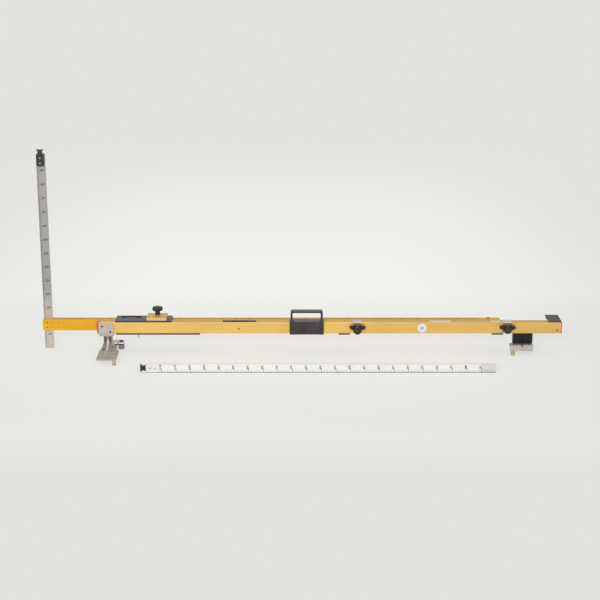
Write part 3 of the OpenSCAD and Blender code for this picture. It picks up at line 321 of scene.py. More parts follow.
def foot_alloy(sheet, colours):
    """The left casting: painted shade in the flutes, a painted highlight on the rib between them
    with painted shade at its top, a lug lifted as painted light and a soiled tread.
    """
    # Places are millimetres from the low corner of the casting's box, heights from the floor
    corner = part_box("left_foot_casting")[0]
    along = sheet.axis("X", corner.x)
    back = sheet.axis("Y", corner.y)
    up = sheet.axis("Z")
    # Painted shade: the flutes of the web are darkened for the shade in their recess.
    web = sheet.band(back, 132, 158, 2) * sheet.band(along, 8, 45, 1) * sheet.step(up, 24, 34)
    rib = sheet.band(along, 28, 37, 0.6) * sheet.band(back, 92, 148.8, 0.6) * sheet.step(up, 23, 25)
    # The rib's light tone is a painted highlight, darkening upward as painted shade under the
    # bracket.
    lightened = sheet.between(paint(colours.rib), paint(colours.rib, 0.45), sheet.step(up, 43, 50))
    tread = sheet.band(back, 7, 78, 3) * sheet.band(along, 22, 73, 1.5) * sheet.step(up, 21, 22.6)
    # Painted light: the rear lug is lifted near white for light on its shadowed top.
    lug = sheet.step(back, 170, 174)
    tone = sheet.between(paint(colours.casting), paint(colours.tread), tread)
    tone = sheet.between(tone, paint(colours.flute), web)
    tone = sheet.between(tone, lightened, rib)
    tone = sheet.between(tone, paint(colours.lug), lug)
    return cast(sheet, tone, paint(colours.casting, 0.45))


def bracket_alloy(sheet, colours):
    return cast(sheet, paint(colours.bracket), paint(colours.bracket, 0.6))


def ground(sheet, colour, grain_way):
    """Ground or brushed steel: fine lines one way, a few stains and scratches."""
    lines = sheet.noise(1.0, grain_way, 2.0)
    stains = sheet.noise(30, detail=5.0)
    tone = sheet.between(paint(colour, 0.72), paint(colour, 1.12), sheet.step(lines, 0.3, 0.7))
    tone = sheet.between(tone, paint(colour, 0.6), sheet.step(stains, 0.55, 0.75) * 0.5)
    tone = sheet.between(tone, WHITE, sheet.scratched(0.6, (2, 1, 1)))
    tone = sheet.between(tone, WHITE, sheet.worn(0.5))
    rough = 0.3 + lines * 0.16 + stains * 0.1
    return sheet.surface(tone, rough, lines, 0.02 * MM, Metallic=0.6)


def shoe_steel(sheet, colours):
    return ground(sheet, colours.shoe, (700, 90, 25))


def strap_steel(sheet, colours):
    return ground(sheet, colours.strap, (20, 1100, 1100))


def pin_steel(sheet, colours):
    return ground(sheet, colours.pin_steel, (25, 25, 1600))


def pin_brass(sheet, colours):
    return ground(sheet, colours.brass, (25, 25, 1600))


def boss_bronze(sheet, colours):
    return ground(sheet, colours.bronze, (900, 60, 60))


def screw_dark(sheet, colours):
    return ground(sheet, colours.screw_dark, (300, 300, 300))


def screw_light(sheet, colours):
    return ground(sheet, colours.screw_light, (300, 300, 300))


def plated(sheet, tone, stains):
    """Closes a small screw's finish."""
    return sheet.surface(tone, 0.35 + stains * 0.15, stains, 0.02 * MM)


def face_screw(sheet, colours):
    """Screws of the beam's front: rusty at the left, plated in the middle, black at the right."""
    along = sheet.axis("X")
    stains = sheet.noise(300, detail=4.0)
    tone = sheet.between(paint(colours.screw_rust), paint(colours.screw_pale),
                         sheet.step(along, -160, -140))
    tone = sheet.between(tone, paint(colours.screw_dark), sheet.step(along, 490, 510))
    return plated(sheet, tone, stains)


def arm_screw(sheet, colours):
    """Screws of the arm's end: one column blackened, the others plated to match the arm."""
    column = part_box("arm_end_screws")[0].x + 12.4 * MM
    dark = sheet.band(sheet.axis("X", column), -3, 3, 0.5)
    stains = sheet.noise(300, detail=4.0)
    tone = sheet.between(paint(colours.screw_tan), paint(colours.screw_tan, 0.75), stains)
    tone = sheet.between(tone, paint(colours.screw_brown, 0.5), dark)
    return plated(sheet, tone, stains)


def film(sheet, tone, grime):
    """Closes the finish of a printed plate."""
    return sheet.surface(tone, 0.34 + grime * 0.2, grime, 0.01 * MM)


def label_white(sheet, colours):
    """Printed film: off-white with a little grime that has collected in patches."""
    grime = sheet.noise(60, detail=5.0)
    tone = sheet.between(paint(colours.label), paint(colours.label, 0.72),
                         sheet.step(grime, 0.5, 0.85) * 0.7)
    return film(sheet, tone, grime)


def disc_face(sheet, colours):
    """The round disc, white with a grey middle."""
    low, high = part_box("face_disc")
    centre = (low + high) / 2
    away = sheet.add("ShaderNodeVectorMath", {"operation": "LENGTH"},
                     {0: sheet.spot((1, 0, 1), centre)}, output="Value")
    grime = sheet.noise(60, detail=5.0)
    rim = (high.x - low.x) * 0.18
    tone = sheet.between(paint(colours.disc_grey), paint(colours.disc_ring),
                         sheet.step(away, rim, rim + 0.5 * MM))
    tone = sheet.between(tone, paint(colours.disc_grey), sheet.step(grime, 0.55, 0.8) * 0.4)
    return film(sheet, tone, grime)


def vial_glass(sheet, colours):
    """Yellow-green liquid seen through glass."""
    drift = sheet.noise(40, detail=1.0)
    tone = sheet.between(paint(colours.vial, 0.85), paint(colours.vial, 1.1), drift)
    return sheet.surface(tone, 0.03 + drift * 0.02, **{"Transmission Weight": 0.55, "IOR": 1.45})


def rule_face(sheet, tone, shade, grain_way):
    """Satin enamel on a rule, rubbed along its edges and handled in places."""
    lines = sheet.noise(1.0, grain_way, 2.0)
    handled = sheet.noise(9, detail=5.0)
    tone = sheet.between(tone, shade, sheet.step(lines, 0.3, 0.7) * 0.15)
    tone = sheet.between(tone, shade, sheet.step(handled, 0.56, 0.72) * 0.2)
    tone = sheet.between(tone, shade, sheet.worn(0.7))
    return sheet.surface(tone, 0.36 + handled * 0.14, lines, 0.01 * MM, Metallic=0.1)


def rule_grey(sheet, colours):
    """The upright rule, lighter below the arm, with painted light reflected from the orange arm:
    warmer above it and a band at the arm's top.
    """
    arm_low, arm_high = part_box("sliding_arm")
    up = sheet.axis("Z")
    above = arm_high.z / MM
    # Painted reflected light: a warmer tone above the arm, fading upward.
    tone = sheet.between(paint(colours.rule_grey), paint(colours.rule_warm),
                         sheet.step(up, above + 120, above + 40))
    # Lighter below the arm.
    tone = sheet.between(paint(colours.rule_low), tone, sheet.step(up, arm_low.z / MM, above))
    # Painted reflection of the orange arm in a band at its top.
    tone = sheet.between(tone, paint(colours.rule_tan), sheet.band(up, above - 20, above + 24, 10))
    return rule_face(sheet, tone, paint(colours.rule_grey, 0.4), (900, 900, 12))


def rule_white(sheet, colours):
    """The loose rule, with a painted shadow as a dark line along its lower edge and a soiled far
    end.
    """
    low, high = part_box("spare_rule")
    # Painted shadow: the lowest two millimetres of the face darkened for the shade under the rule's
    # edge.
    bottom_shadow = sheet.step(sheet.axis("Z", low.z), 1.6, 2.4, 1.0, 0.0)
    far = sheet.step(sheet.axis("X", high.x), -62, -44)
    near = sheet.step(sheet.axis("X", low.x), 60, 30)
    tone = sheet.between(paint(colours.rule_white), paint(colours.rule_end), far + near * 0.3)
    tone = sheet.between(tone, paint(colours.ink, 2.0), bottom_shadow * 0.75)
    return rule_face(sheet, tone, paint(colours.rule_white, 0.45), (12, 900, 900))


def mark_ink(sheet, colours):
    """Black filling of engraved marks, thinner where it has been wiped."""
    thin = sheet.noise(160, detail=3.0)
    tone = sheet.between(paint(colours.ink), paint(colours.ink, 3.5), sheet.step(thin, 0.5, 0.8))
    return sheet.surface(tone, 0.5 + thin * 0.1)


FINISHES = {
    finish.__name__: finish
    for finish in (beam_gold, clamp_gold, arm_orange, guide_black, end_plate_brown, handle_black,
                   level_black, cap_red, strip_plastic, pad_plastic, knob_black, insulator_black,
                   foot_alloy, bracket_alloy, shoe_steel, strap_steel, pin_steel, pin_brass,
                   boss_bronze, screw_dark, screw_light, face_screw, arm_screw, label_white,
                   disc_face, vial_glass, rule_grey, rule_white, mark_ink)
}


def material(name):
    """The material of that finish, made when it is first asked for."""
    found = bpy.data.materials.get("finish_" + name)
    if found:
        return found
    sheet = Sheet(bpy.data.materials.new("finish_" + name))
    return FINISHES[name](sheet, bpy.context.scene.track_gauge.colours)


# Making and placing pieces

def body_of(node):
    """The body that a node moves with."""
    return frame["nodes"][node]["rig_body"]


def to_mesh(shape, name):
    """Closes a bmesh and gives its mesh, smooth but for its sharp edges."""
    for face in shape.faces:
        face.smooth = True
    mesh = bpy.data.meshes.new(name)
    shape.to_mesh(mesh)
    shape.free()
    mesh.set_sharp_from_angle(angle=CREASED_OVER)
    return mesh


def place(shape, name, body, slot, finish=None, stands_for=()):
    """Puts a bmesh into the scene as a piece that rides on a body."""
    piece = bpy.data.objects.new(name, to_mesh(shape, name))
    bpy.context.scene.collection.objects.link(piece)
    piece.data.materials.append(material(finish or slot))
    even = piece.modifiers.new("even shading", "WEIGHTED_NORMAL")
    even.keep_sharp = True
    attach(piece, body)
    if stands_for:
        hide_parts(*stands_for)
    return piece


def rounded_copy(node, radius, segments=2):
    """A bmesh of a node whose sharp edges are rounded, with the rounds marked for edge wear and
    painted edge highlights.
    """
    shape = bmesh.new()
    shape.from_mesh(frame["nodes"][node].data)
    bmesh.ops.remove_doubles(shape, verts=shape.verts, dist=WELD)
    bmesh.ops.dissolve_limit(shape, angle_limit=FLAT_UNDER, verts=shape.verts, edges=shape.edges)
    worn = shape.faces.layers.float.new("worn")
    sharp = [edge for edge in shape.edges
             if edge.is_manifold and edge.calc_face_angle() > ROUNDED_OVER]
    if radius > 0:
        made = bmesh.ops.bevel(shape, geom=sharp, offset=radius, offset_type="OFFSET",
                               affect="EDGES", segments=segments, profile=0.5, material=-1,
                               clamp_overlap=True)
        for face in made["faces"]:
            face[worn] = 1.0
    return shape


def soften(radius, *nodes, segments=2, finish=None):
    """Replaces each of these nodes by a copy with rounded edges, in its own finish or another."""
    for node in nodes:
        place(rounded_copy(node, radius, segments), node + "_finished", body_of(node),
              SLOTS[node], finish, stands_for=(node,))


def soften_rule(rule, sizes):
    """Replaces a rule, its head and its rivets by rounded copies."""
    soften(sizes.fine_round, rule)
    soften(sizes.soft_round, rule + "_head", segments=3)
    soften(sizes.fine_round, rule + "_rivets")


def dress(*nodes):
    """Gives these nodes their finish and leaves their shape."""
    for node in nodes:
        for seat in frame["nodes"][node].material_slots:
            seat.material = material(SLOTS[node])


def turned(profile, origin, along, steps=48):
    """A bmesh spun round an axis from (distance along it, radius) points."""
    shape = bmesh.new()
    side = along.orthogonal().normalized()
    points = [shape.verts.new(origin + along * reach + side * radius) for reach, radius in profile]
    lines = [shape.edges.new(pair) for pair in zip(points, points[1:])]
    bmesh.ops.spin(shape, geom=points + lines, cent=origin, axis=along, angle=math.tau,
                   steps=steps, use_merge=True)
    bmesh.ops.remove_doubles(shape, verts=shape.verts, dist=WELD)
    bmesh.ops.recalc_face_normals(shape, faces=shape.faces)
    return shape


def quarter(centre, reach, start, stop, count):
    """Points of an arc in a profile, centre and reach given as (along, radius) pairs."""
    angles = [math.radians(start + (stop - start) * i / count) for i in range(count + 1)]
    return [(centre[0] + reach[0] * math.sin(a), centre[1] + reach[1] * math.cos(a))
            for a in angles]


def middle(node):
    """The middle of a node's box."""
    low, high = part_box(node)
    return (low + high) / 2


# Divisions and numbers, as thin raised shapes on a drawing plane

def drawing_plane(corner, right, up):
    """A matrix with X and Y along a face and Z out of it, its origin at a corner of the face."""
    plane = Matrix((right, up, right.cross(up))).transposed().to_4x4()
    plane.translation = corner
    return plane


def bar(shape, plane, left, bottom, width, height, proud):
    """Adds a thin raised bar."""
    centre = Vector((left + width / 2, bottom + height / 2, 0))
    size = Matrix.Diagonal((width, height, 2 * proud, 1))
    bmesh.ops.create_cube(shape, size=1.0, matrix=plane @ Matrix.Translation(centre) @ size)


def figures(shape, plane, text, x, y, height, proud, bold=0.0):
    """Adds a number in thin raised figures, its middle at x and y."""
    digit_share = 0.73
    curve = bpy.data.curves.new("figures", "FONT")
    curve.body = text
    curve.size = height / digit_share
    curve.extrude = proud
    curve.offset = bold
    curve.resolution_u = 2
    curve.align_x = "CENTER"
    writing = bpy.data.objects.new("figures", curve)
    mesh = bpy.data.meshes.new_from_object(writing)
    mesh.transform(plane @ Matrix.Translation((x, y - height / 2, 0)))
    shape.from_mesh(mesh)
    bpy.data.meshes.remove(mesh)
    bpy.data.objects.remove(writing)
    bpy.data.curves.remove(curve)


def rule_marks(plane, length, numbers, sizes, bold_at=()):
    """A bmesh of a rule's millimetre divisions along its left edge and its numbers."""
    shape = bmesh.new()
    width = sizes.rule_width
    reaches = {50: (0.56, 1.2), 10: (0.34, 0.55), 5: (0.22, 0.35), 1: (0.14, 0.22)}
    for at in range(1, int(length / MM)):
        step = next(step for step in reaches if at % step == 0)
        share, thick = reaches[step]
        bar(shape, plane, 0.3 * MM, (at - thick / 2) * MM, share * width, thick * MM,
            sizes.mark_proud)
    for at in numbers:
        figures(shape, plane, str(at), 0.63 * width, (at + 4.5) * MM, sizes.figure_height,
                sizes.mark_proud, (0.45 if at in bold_at else 0.18) * MM)
    bmesh.ops.remove_doubles(shape, verts=shape.verts, dist=WELD)
    return shape


# Panel values

def colour_of(name, description, red, green, blue):
    """A colour value, given by the levels that it has on screen."""
    return FloatVectorProperty(name=name, description=description, subtype="COLOR_GAMMA", size=3,
                               min=0, max=1, default=(red / 255, green / 255, blue / 255))


def length_of(name, description, millimetres):
    """A length value, given in millimetres."""
    return FloatProperty(name=name, description=description, unit="LENGTH", precision=5, min=0,
                         default=millimetres * MM)


class GaugeColours(bpy.types.PropertyGroup):
    """Colours of the gauge's finishes."""

    gold: colour_of("Beam gold", "Anodising of the main beam", 234, 190, 101)
    block_gold: colour_of("Block gold", "Anodising of the clamp block", 238, 196, 112)
    orange: colour_of("Arm orange", "Anodising of the sliding arm", 230, 172, 42)
    black: colour_of("Guide black", "Guide, level, plastic strip and brake shoe", 48, 47, 54)
    brown: colour_of("End plate brown", "Plate at the beam's right end", 66, 54, 50)
    # On the wing knobs' inserts this grey is a painted highlight.
    handle: colour_of("Handle black", "Carrying handle and the wing knobs' inserts", 50, 47, 48)
    phenolic: colour_of("Knob black", "Moulded knobs, the arm's plug and rule heads", 30, 29, 30)
    insulator: colour_of("Insulator black", "Laminated block of the right foot", 40, 40, 41)
    cap_red: colour_of("Cap red", "Plastic caps of the beam's ends", 206, 78, 44)
    pad: colour_of("Pad", "Plastic pads of the lock screws", 222, 216, 200)
    casting: colour_of("Casting", "Cast left foot", 184, 173, 163)
    # Painted shade of the web's flutes.
    flute: colour_of("Flutes", "Oxidised front of the left foot's web", 89, 82, 78)
    # Painted highlight of the rib.
    rib: colour_of("Rib", "Rubbed rib down the left foot's web", 226, 220, 208)
    tread: colour_of("Tread", "Shallow recess in the left shoe's top", 182, 178, 162)
    # Lug tone lifted near white as painted light.
    lug: colour_of("Lug", "Rear lug of the left foot", 245, 243, 238)
    bracket: colour_of("Bracket", "Bracket plate of the left foot", 190, 181, 172)
    shoe: colour_of("Shoe steel", "Right shoe and the left sole", 196, 186, 183)
    strap: colour_of("Strap steel", "Straps over the lock screws", 228, 216, 208)
    pin_steel: colour_of("Pin steel", "Rear gauge pin of the left foot", 150, 143, 136)
    brass: colour_of("Brass", "Brass gauge pins and the clamp's shoe", 196, 182, 140)
    bronze: colour_of("Bronze", "Bosses of the lock screws", 168, 122, 66)
    screw_dark: colour_of("Dark screws", "Blackened screws, left foot's spacer", 62, 54, 50)
    screw_light: colour_of("Bright screws", "Plated screws, studs and rivets", 186, 182, 176)
    label: colour_of("Label white", "Bare plates, vernier marks and bubble", 236, 234, 230)
    disc_ring: colour_of("Disc ring", "Outer part of the round disc", 222, 226, 229)
    disc_grey: colour_of("Disc grey", "Middle of the round disc", 182, 178, 164)
    screw_brown: colour_of("Brown screws", "Blackened screws of the arm's end", 112, 88, 62)
    screw_rust: colour_of("Rusty screw", "Left screw of the beam's front", 120, 82, 76)
    screw_pale: colour_of("Pale screws", "Middle screws of the beam's front", 212, 160, 108)
    screw_tan: colour_of("Tan screws", "Screws plated to match the arm", 196, 150, 84)
    vial: colour_of("Vial", "Liquid of the spirit level", 196, 216, 120)
    rule_grey: colour_of("Height rule", "Face of the upright rule", 159, 155, 151)
    rule_low: colour_of("Height rule's foot", "Upright rule below the arm", 198, 189, 181)
    # Painted light reflected from the arm.
    rule_warm: colour_of("Height rule's middle", "Upright rule above the arm", 186, 178, 170)
    # Painted reflection of the arm.
    rule_tan: colour_of("Height rule's glow", "Upright rule at the arm's top", 198, 178, 156)
    rule_white: colour_of("Loose rule", "Face of the loose rule", 236, 234, 230)
    rule_end: colour_of("Loose rule's end", "Far end of the loose rule", 214, 210, 202)
    ink: colour_of("Ink", "Divisions and numbers", 40, 38, 36)


class GaugeSizes(bpy.types.PropertyGroup):
    """Sizes of the gauge's visual details."""

    fine_round: length_of("Fine round", "Radius of broken edges on machined pieces", 0.4)
    soft_round: length_of("Soft round", "Radius of edges on cast and moulded pieces", 1.2)
    mark_proud: length_of("Mark height", "How far the marks stand out of their face", 0.06)
    figure_height: length_of("Figure height", "Height of the numbers on the rules", 7)
    arm_figure_height: length_of("Arm figure height", "Height of the numbers on the arm", 6)
    rule_width: FloatProperty(name="Rule width", description="Width of both rules", unit="LENGTH",
                              default=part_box("height_rule")[1].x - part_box("height_rule")[0].x)
    number_step: IntProperty(name="Number step", description="Millimetres from number to number",
                             min=10, default=50)


class StageSettings(bpy.types.PropertyGroup):
    """Camera, light and floor."""

    camera_place: FloatVectorProperty(name="Camera", description="Where the camera stands",
                                      subtype="TRANSLATION", size=3,
                                      default=(-0.0055, -4.961, 1.687))
    camera_pitch: FloatProperty(name="Pitch", description="How far the camera looks down",
                                subtype="ANGLE", default=math.radians(16.5))
    lens: FloatProperty(name="Lens", description="Focal length on a 36 mm sensor, in millimetres",
                        default=88.86)
    # Tone of the painted pool of light on the floor behind the gauge.
    floor: colour_of("Floor", "Brightest part of the floor, behind the gauge", 243, 242, 238)
    floor_edge: colour_of("Floor edge", "Floor and background all round", 228, 227, 223)
    floor_shadow: FloatProperty(name="Floor shadow", description="Share of the floor's tone near"
                                " the gauge that shadows darken", subtype="FACTOR", min=0,
                                max=0.9, default=0.4)
    sky_strength: FloatProperty(name="Sky", description="Strength of the light from all round",
                                default=0.55)
    key_power: FloatProperty(name="Key light", description="Power of the lamp in front",
                             subtype="POWER", default=150)


class TrackGaugeSettings(bpy.types.PropertyGroup):
    """Everything that a user can change."""

    colours: PointerProperty(type=GaugeColours)
    sizes: PointerProperty(type=GaugeSizes)
    stage: PointerProperty(type=StageSettings)


# Operators, one for each group of pieces

class GAUGE_OT_beam(bpy.types.Operator):
    """Main beam with its end caps and face screws"""

    bl_idname = "track_gauge.beam"
    bl_label = "Beam"

    def execute(self, context):
        sizes = context.scene.track_gauge.sizes
        soften(0, "main_beam")
        soften(sizes.fine_round, "beam_end_caps")
        soften(0, "beam_face_screws", finish="face_screw")
        return {"FINISHED"}


class GAUGE_OT_labels(bpy.types.Operator):
    """Two bare plates on top and the round disc on the front face"""

    bl_idname = "track_gauge.labels"
    bl_label = "Labels"

    def execute(self, context):
        soften(0, "blank_labels")
        soften(0, "face_disc", finish="disc_face")
        return {"FINISHED"}


class GAUGE_OT_guide(bpy.types.Operator):
    """Black channel that the arm slides in, with its reading window"""

    bl_idname = "track_gauge.guide"
    bl_label = "Arm guide"

    def execute(self, context):
        sizes = context.scene.track_gauge.sizes
        soften(sizes.fine_round, "top_guide_plate", "bottom_guide_plate", "rear_guide_wall",
               "vernier_plate", "arm_carrier_mid", "arm_carrier_end", "end_plate")
        soften(0, "guide_adjust_screw", "top_screws", "low_screws")
        dress("front_guide_strip")
        self.vernier(sizes)
        return {"FINISHED"}

    def vernier(self, sizes):
        """White marks in front of the window's slot, with a longer one at the index."""
        low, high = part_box("vernier_plate")
        plane = drawing_plane(Vector((low.x, low.y, high.z)), RIGHT, AWAY)
        slot_left = 21 * MM
        slot_front = 9.5 * MM
        pitch = 0.9 * MM
        thick = 0.18 * MM
        shape = bmesh.new()
        for mark in range(31):
            reach = 3.2 * MM if mark % 10 == 0 else 1.8 * MM
            bar(shape, plane, slot_left + (mark + 0.5) * pitch, slot_front - reach, thick, reach,
                sizes.mark_proud)
        place(shape, "vernier_marks", "gauge_beam", "label_white")


class GAUGE_OT_clamp(bpy.types.Operator):
    """Clamp block, its mushroom knob, the stud and the shoe"""

    bl_idname = "track_gauge.clamp"
    bl_label = "Arm clamp"

    def execute(self, context):
        sizes = context.scene.track_gauge.sizes
        soften(1.5 * sizes.fine_round, "clamp_block")
        dress("clamp_stud", "clamp_shoe")
        low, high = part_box("clamp_knob")
        flatter = 1 * MM
        reach = high.z - low.z - flatter
        rim = (high.x - low.x) / 2
        stem = 9 * MM
        bore = 4.05 * MM
        bore_depth = 9 * MM
        cap_height = 15.5 * MM
        neck = reach - cap_height
        profile = [(bore_depth, 0), (bore_depth, bore), (0, bore)]
        profile += [(0, stem - 1 * MM)]
        profile += quarter((1 * MM, stem - 1 * MM), (1 * MM, 1 * MM), -90, 0, 4)[1:]
        profile += [(0.6 * neck, stem - 0.2 * MM), (neck, stem)]
        profile += quarter((neck + 4 * MM, rim - 4.5 * MM), (4 * MM, 4.5 * MM), -80, 0, 8)
        profile += quarter((reach - 7 * MM, rim - 9 * MM), (5.5 * MM, 9 * MM), 12, 82, 8)
        profile += [(reach - 0.8 * MM, 6 * MM), (reach, 3 * MM), (reach, 0)]
        centre = middle("clamp_knob")
        foot = Vector((centre.x, centre.y, low.z))
        place(turned(profile, foot, UP, 64), "clamp_knob_turned", "clamp_screw", "knob_black",
              stands_for=("clamp_knob",))
        return {"FINISHED"}


class GAUGE_OT_handle(bpy.types.Operator):
    """Carrying handle: saddle, hoop and screws"""

    bl_idname = "track_gauge.handle"
    bl_label = "Handle"

    def execute(self, context):
        sizes = context.scene.track_gauge.sizes
        soften(sizes.fine_round, "handle_saddle")
        soften(sizes.soft_round, "handle_hoop", segments=3)
        soften(0, "handle_screws")
        return {"FINISHED"}


class GAUGE_OT_level(bpy.types.Operator):
    """Spirit level let into the beam's top"""

    bl_idname = "track_gauge.level"
    bl_label = "Spirit level"

    def execute(self, context):
        sizes = context.scene.track_gauge.sizes
        soften(0.5 * sizes.fine_round, "level_housing")
        self.vial()
        return {"FINISHED"}

    def vial(self):
        """Round-ended glass, two rings and the bubble against its upper side."""
        low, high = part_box("level_vial")
        length = high.x - low.x
        radius = (high.z - low.z) / 2 - 0.1 * MM
        start = Vector((low.x, middle("level_vial").y, middle("level_vial").z))
        tube = quarter((radius, 0), (radius, radius), -90, 0, 8)
        tube += quarter((length - radius, 0), (radius, radius), 0, 90, 8)
        place(turned(tube, start, RIGHT, 32), "level_vial_glass", "gauge_beam", "vial_glass",
              stands_for=("level_vial",))
        ring_width = 0.6 * MM
        ring_in = radius - 0.3 * MM
        ring_out = radius + 0.08 * MM
        for side in (-1, 1):
            at = length / 2 + side * 9 * MM
            ring = [(at, ring_in), (at, ring_out), (at + ring_width, ring_out),
                    (at + ring_width, ring_in), (at, ring_in)]
            place(turned(ring, start, RIGHT, 32), f"level_ring_{side}", "gauge_beam",
                  "level_black")
        bubble = bmesh.new()
        size = Matrix.Diagonal((8 * MM, 2.6 * MM, 1.2 * MM, 1))
        top = middle("level_vial") + UP * (radius - 1.15 * MM)
        bmesh.ops.create_uvsphere(bubble, u_segments=24, v_segments=12, radius=1,
                                  matrix=Matrix.Translation(top) @ size)
        place(bubble, "level_bubble", "gauge_beam", "label_white")


class GAUGE_OT_left_foot(bpy.types.Operator):
    """Left foot: bracket, casting, sole, spacer, screws and two gauge pins"""

    bl_idname = "track_gauge.left_foot"
    bl_label = "Left foot"

    def execute(self, context):
        sizes = context.scene.track_gauge.sizes
        soften(sizes.soft_round, "left_foot_casting")
        soften(1.5 * sizes.fine_round, "left_foot_bracket")
        soften(sizes.fine_round, "left_sole_plate", "left_rear_spacer")
        soften(0, "left_front_pin", "left_rear_pin", "left_foot_screws")
        return {"FINISHED"}


class GAUGE_OT_right_foot(bpy.types.Operator):
    """Right foot: insulator, shoe, screws and two gauge pins"""

    bl_idname = "track_gauge.right_foot"
    bl_label = "Right foot"

    def execute(self, context):
        sizes = context.scene.track_gauge.sizes
        soften(sizes.fine_round, "right_insulator", "right_shoe")
        soften(0, "right_front_pin", "right_rear_pin", "right_foot_screws")
        return {"FINISHED"}


class GAUGE_OT_lock_screws(bpy.types.Operator):
    """The two lock screws in the beam's front: straps, bosses, wing knobs, studs and pads"""

    bl_idname = "track_gauge.lock_screws"
    bl_label = "Lock screws"

    def execute(self, context):
        sizes = context.scene.track_gauge.sizes
        for end in ("mid", "end"):
            soften(sizes.fine_round, "lock_strap_" + end, "lock_boss_" + end)
            soften(sizes.soft_round, "lock_knob_" + end, segments=3)
            soften(0, "lock_stud_" + end, "lock_pad_" + end)
            self.hub_disc("lock_knob_" + end)
        return {"FINISHED"}

    def hub_disc(self, knob):
        """Grey insert in the recess of a knob's face, its lighter grey a painted highlight on the
        hub's end.
        """
        stud = middle("lock_stud_" + knob[-3:])
        front = Vector((stud.x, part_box(knob)[0].y, stud.z))
        profile = [(1.5 * MM, 0), (1.5 * MM, 7.1 * MM)]
        profile += quarter((0.9 * MM, 6.4 * MM), (0.5 * MM, 0.7 * MM), 0, -90, 4)
        profile += [(0.4 * MM, 3 * MM), (0.7 * MM, 2.5 * MM), (0.7 * MM, 0)]
        # The insert's grey stands for the highlight on the hub's face: painted highlight.
        place(turned(profile, front, AWAY, 32), knob + "_insert", body_of(knob), "handle_black")


class GAUGE_OT_arm(bpy.types.Operator):
    """Sliding arm with its end block, plug, screws and scale"""

    bl_idname = "track_gauge.arm"
    bl_label = "Sliding arm"

    def execute(self, context):
        sizes = context.scene.track_gauge.sizes
        soften(0, "sliding_arm")
        soften(0, "arm_end_screws", "arm_stop_screw", finish="arm_screw")
        soften(sizes.fine_round, "arm_end_block", "arm_right_plug")
        dress("rule_brake_shoe")
        self.scale(sizes)
        return {"FINISHED"}

    def scale(self, sizes):
        """Divisions along the middle of the arm's top, with numbers behind them."""
        low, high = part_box("sliding_arm")
        first = 55.5 * MM
        front = 7 * MM
        last = 1500
        plane = drawing_plane(Vector((low.x + first, low.y, high.z)), RIGHT, AWAY)
        reaches = {50: 7, 10: 5, 5: 4, 1: 2.6}
        shape = bmesh.new()
        for at in range(last - sizes.number_step + 1):
            reach = next(reaches[step] for step in reaches if at % step == 0)
            bar(shape, plane, (at - 0.12) * MM, front, 0.24 * MM, reach * MM, sizes.mark_proud)
        for number in range(sizes.number_step, last + 1, sizes.number_step):
            figures(shape, plane, str(number), (number - sizes.number_step) * MM,
                    front + 11.5 * MM, sizes.arm_figure_height, sizes.mark_proud, 0.1 * MM)
        bmesh.ops.remove_doubles(shape, verts=shape.verts, dist=WELD)
        place(shape, "arm_scale", "arm", "knob_black", finish="mark_ink")


class GAUGE_OT_height_rule(bpy.types.Operator):
    """Upright rule with its head, rivets and divisions"""

    bl_idname = "track_gauge.height_rule"
    bl_label = "Height rule"

    def execute(self, context):
        sizes = context.scene.track_gauge.sizes
        soften_rule("height_rule", sizes)
        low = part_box("height_rule")[0]
        plane = drawing_plane(low, RIGHT, UP)
        head_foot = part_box("height_rule_head")[0].z - low.z
        numbers = range(sizes.number_step, int(head_foot / MM), sizes.number_step)
        place(rule_marks(plane, head_foot, numbers, sizes), "height_rule_marks", "height_rule",
              "knob_black", finish="mark_ink")
        return {"FINISHED"}


class GAUGE_OT_loose_rule(bpy.types.Operator):
    """Rule that lies in front, with its head, rivets and divisions"""

    bl_idname = "track_gauge.loose_rule"
    bl_label = "Loose rule"

    def execute(self, context):
        sizes = context.scene.track_gauge.sizes
        soften_rule("spare_rule", sizes)
        low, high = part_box("spare_rule")
        plane = drawing_plane(Vector((high.x, low.y, low.z)), UP, -RIGHT)
        head_foot = high.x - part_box("spare_rule_head")[1].x
        numbers = range(sizes.number_step, int(head_foot / MM), sizes.number_step)
        place(rule_marks(plane, head_foot, numbers, sizes, (100,)), "spare_rule_marks",
              "loose_rule", "knob_black", finish="mark_ink")
        return {"FINISHED"}


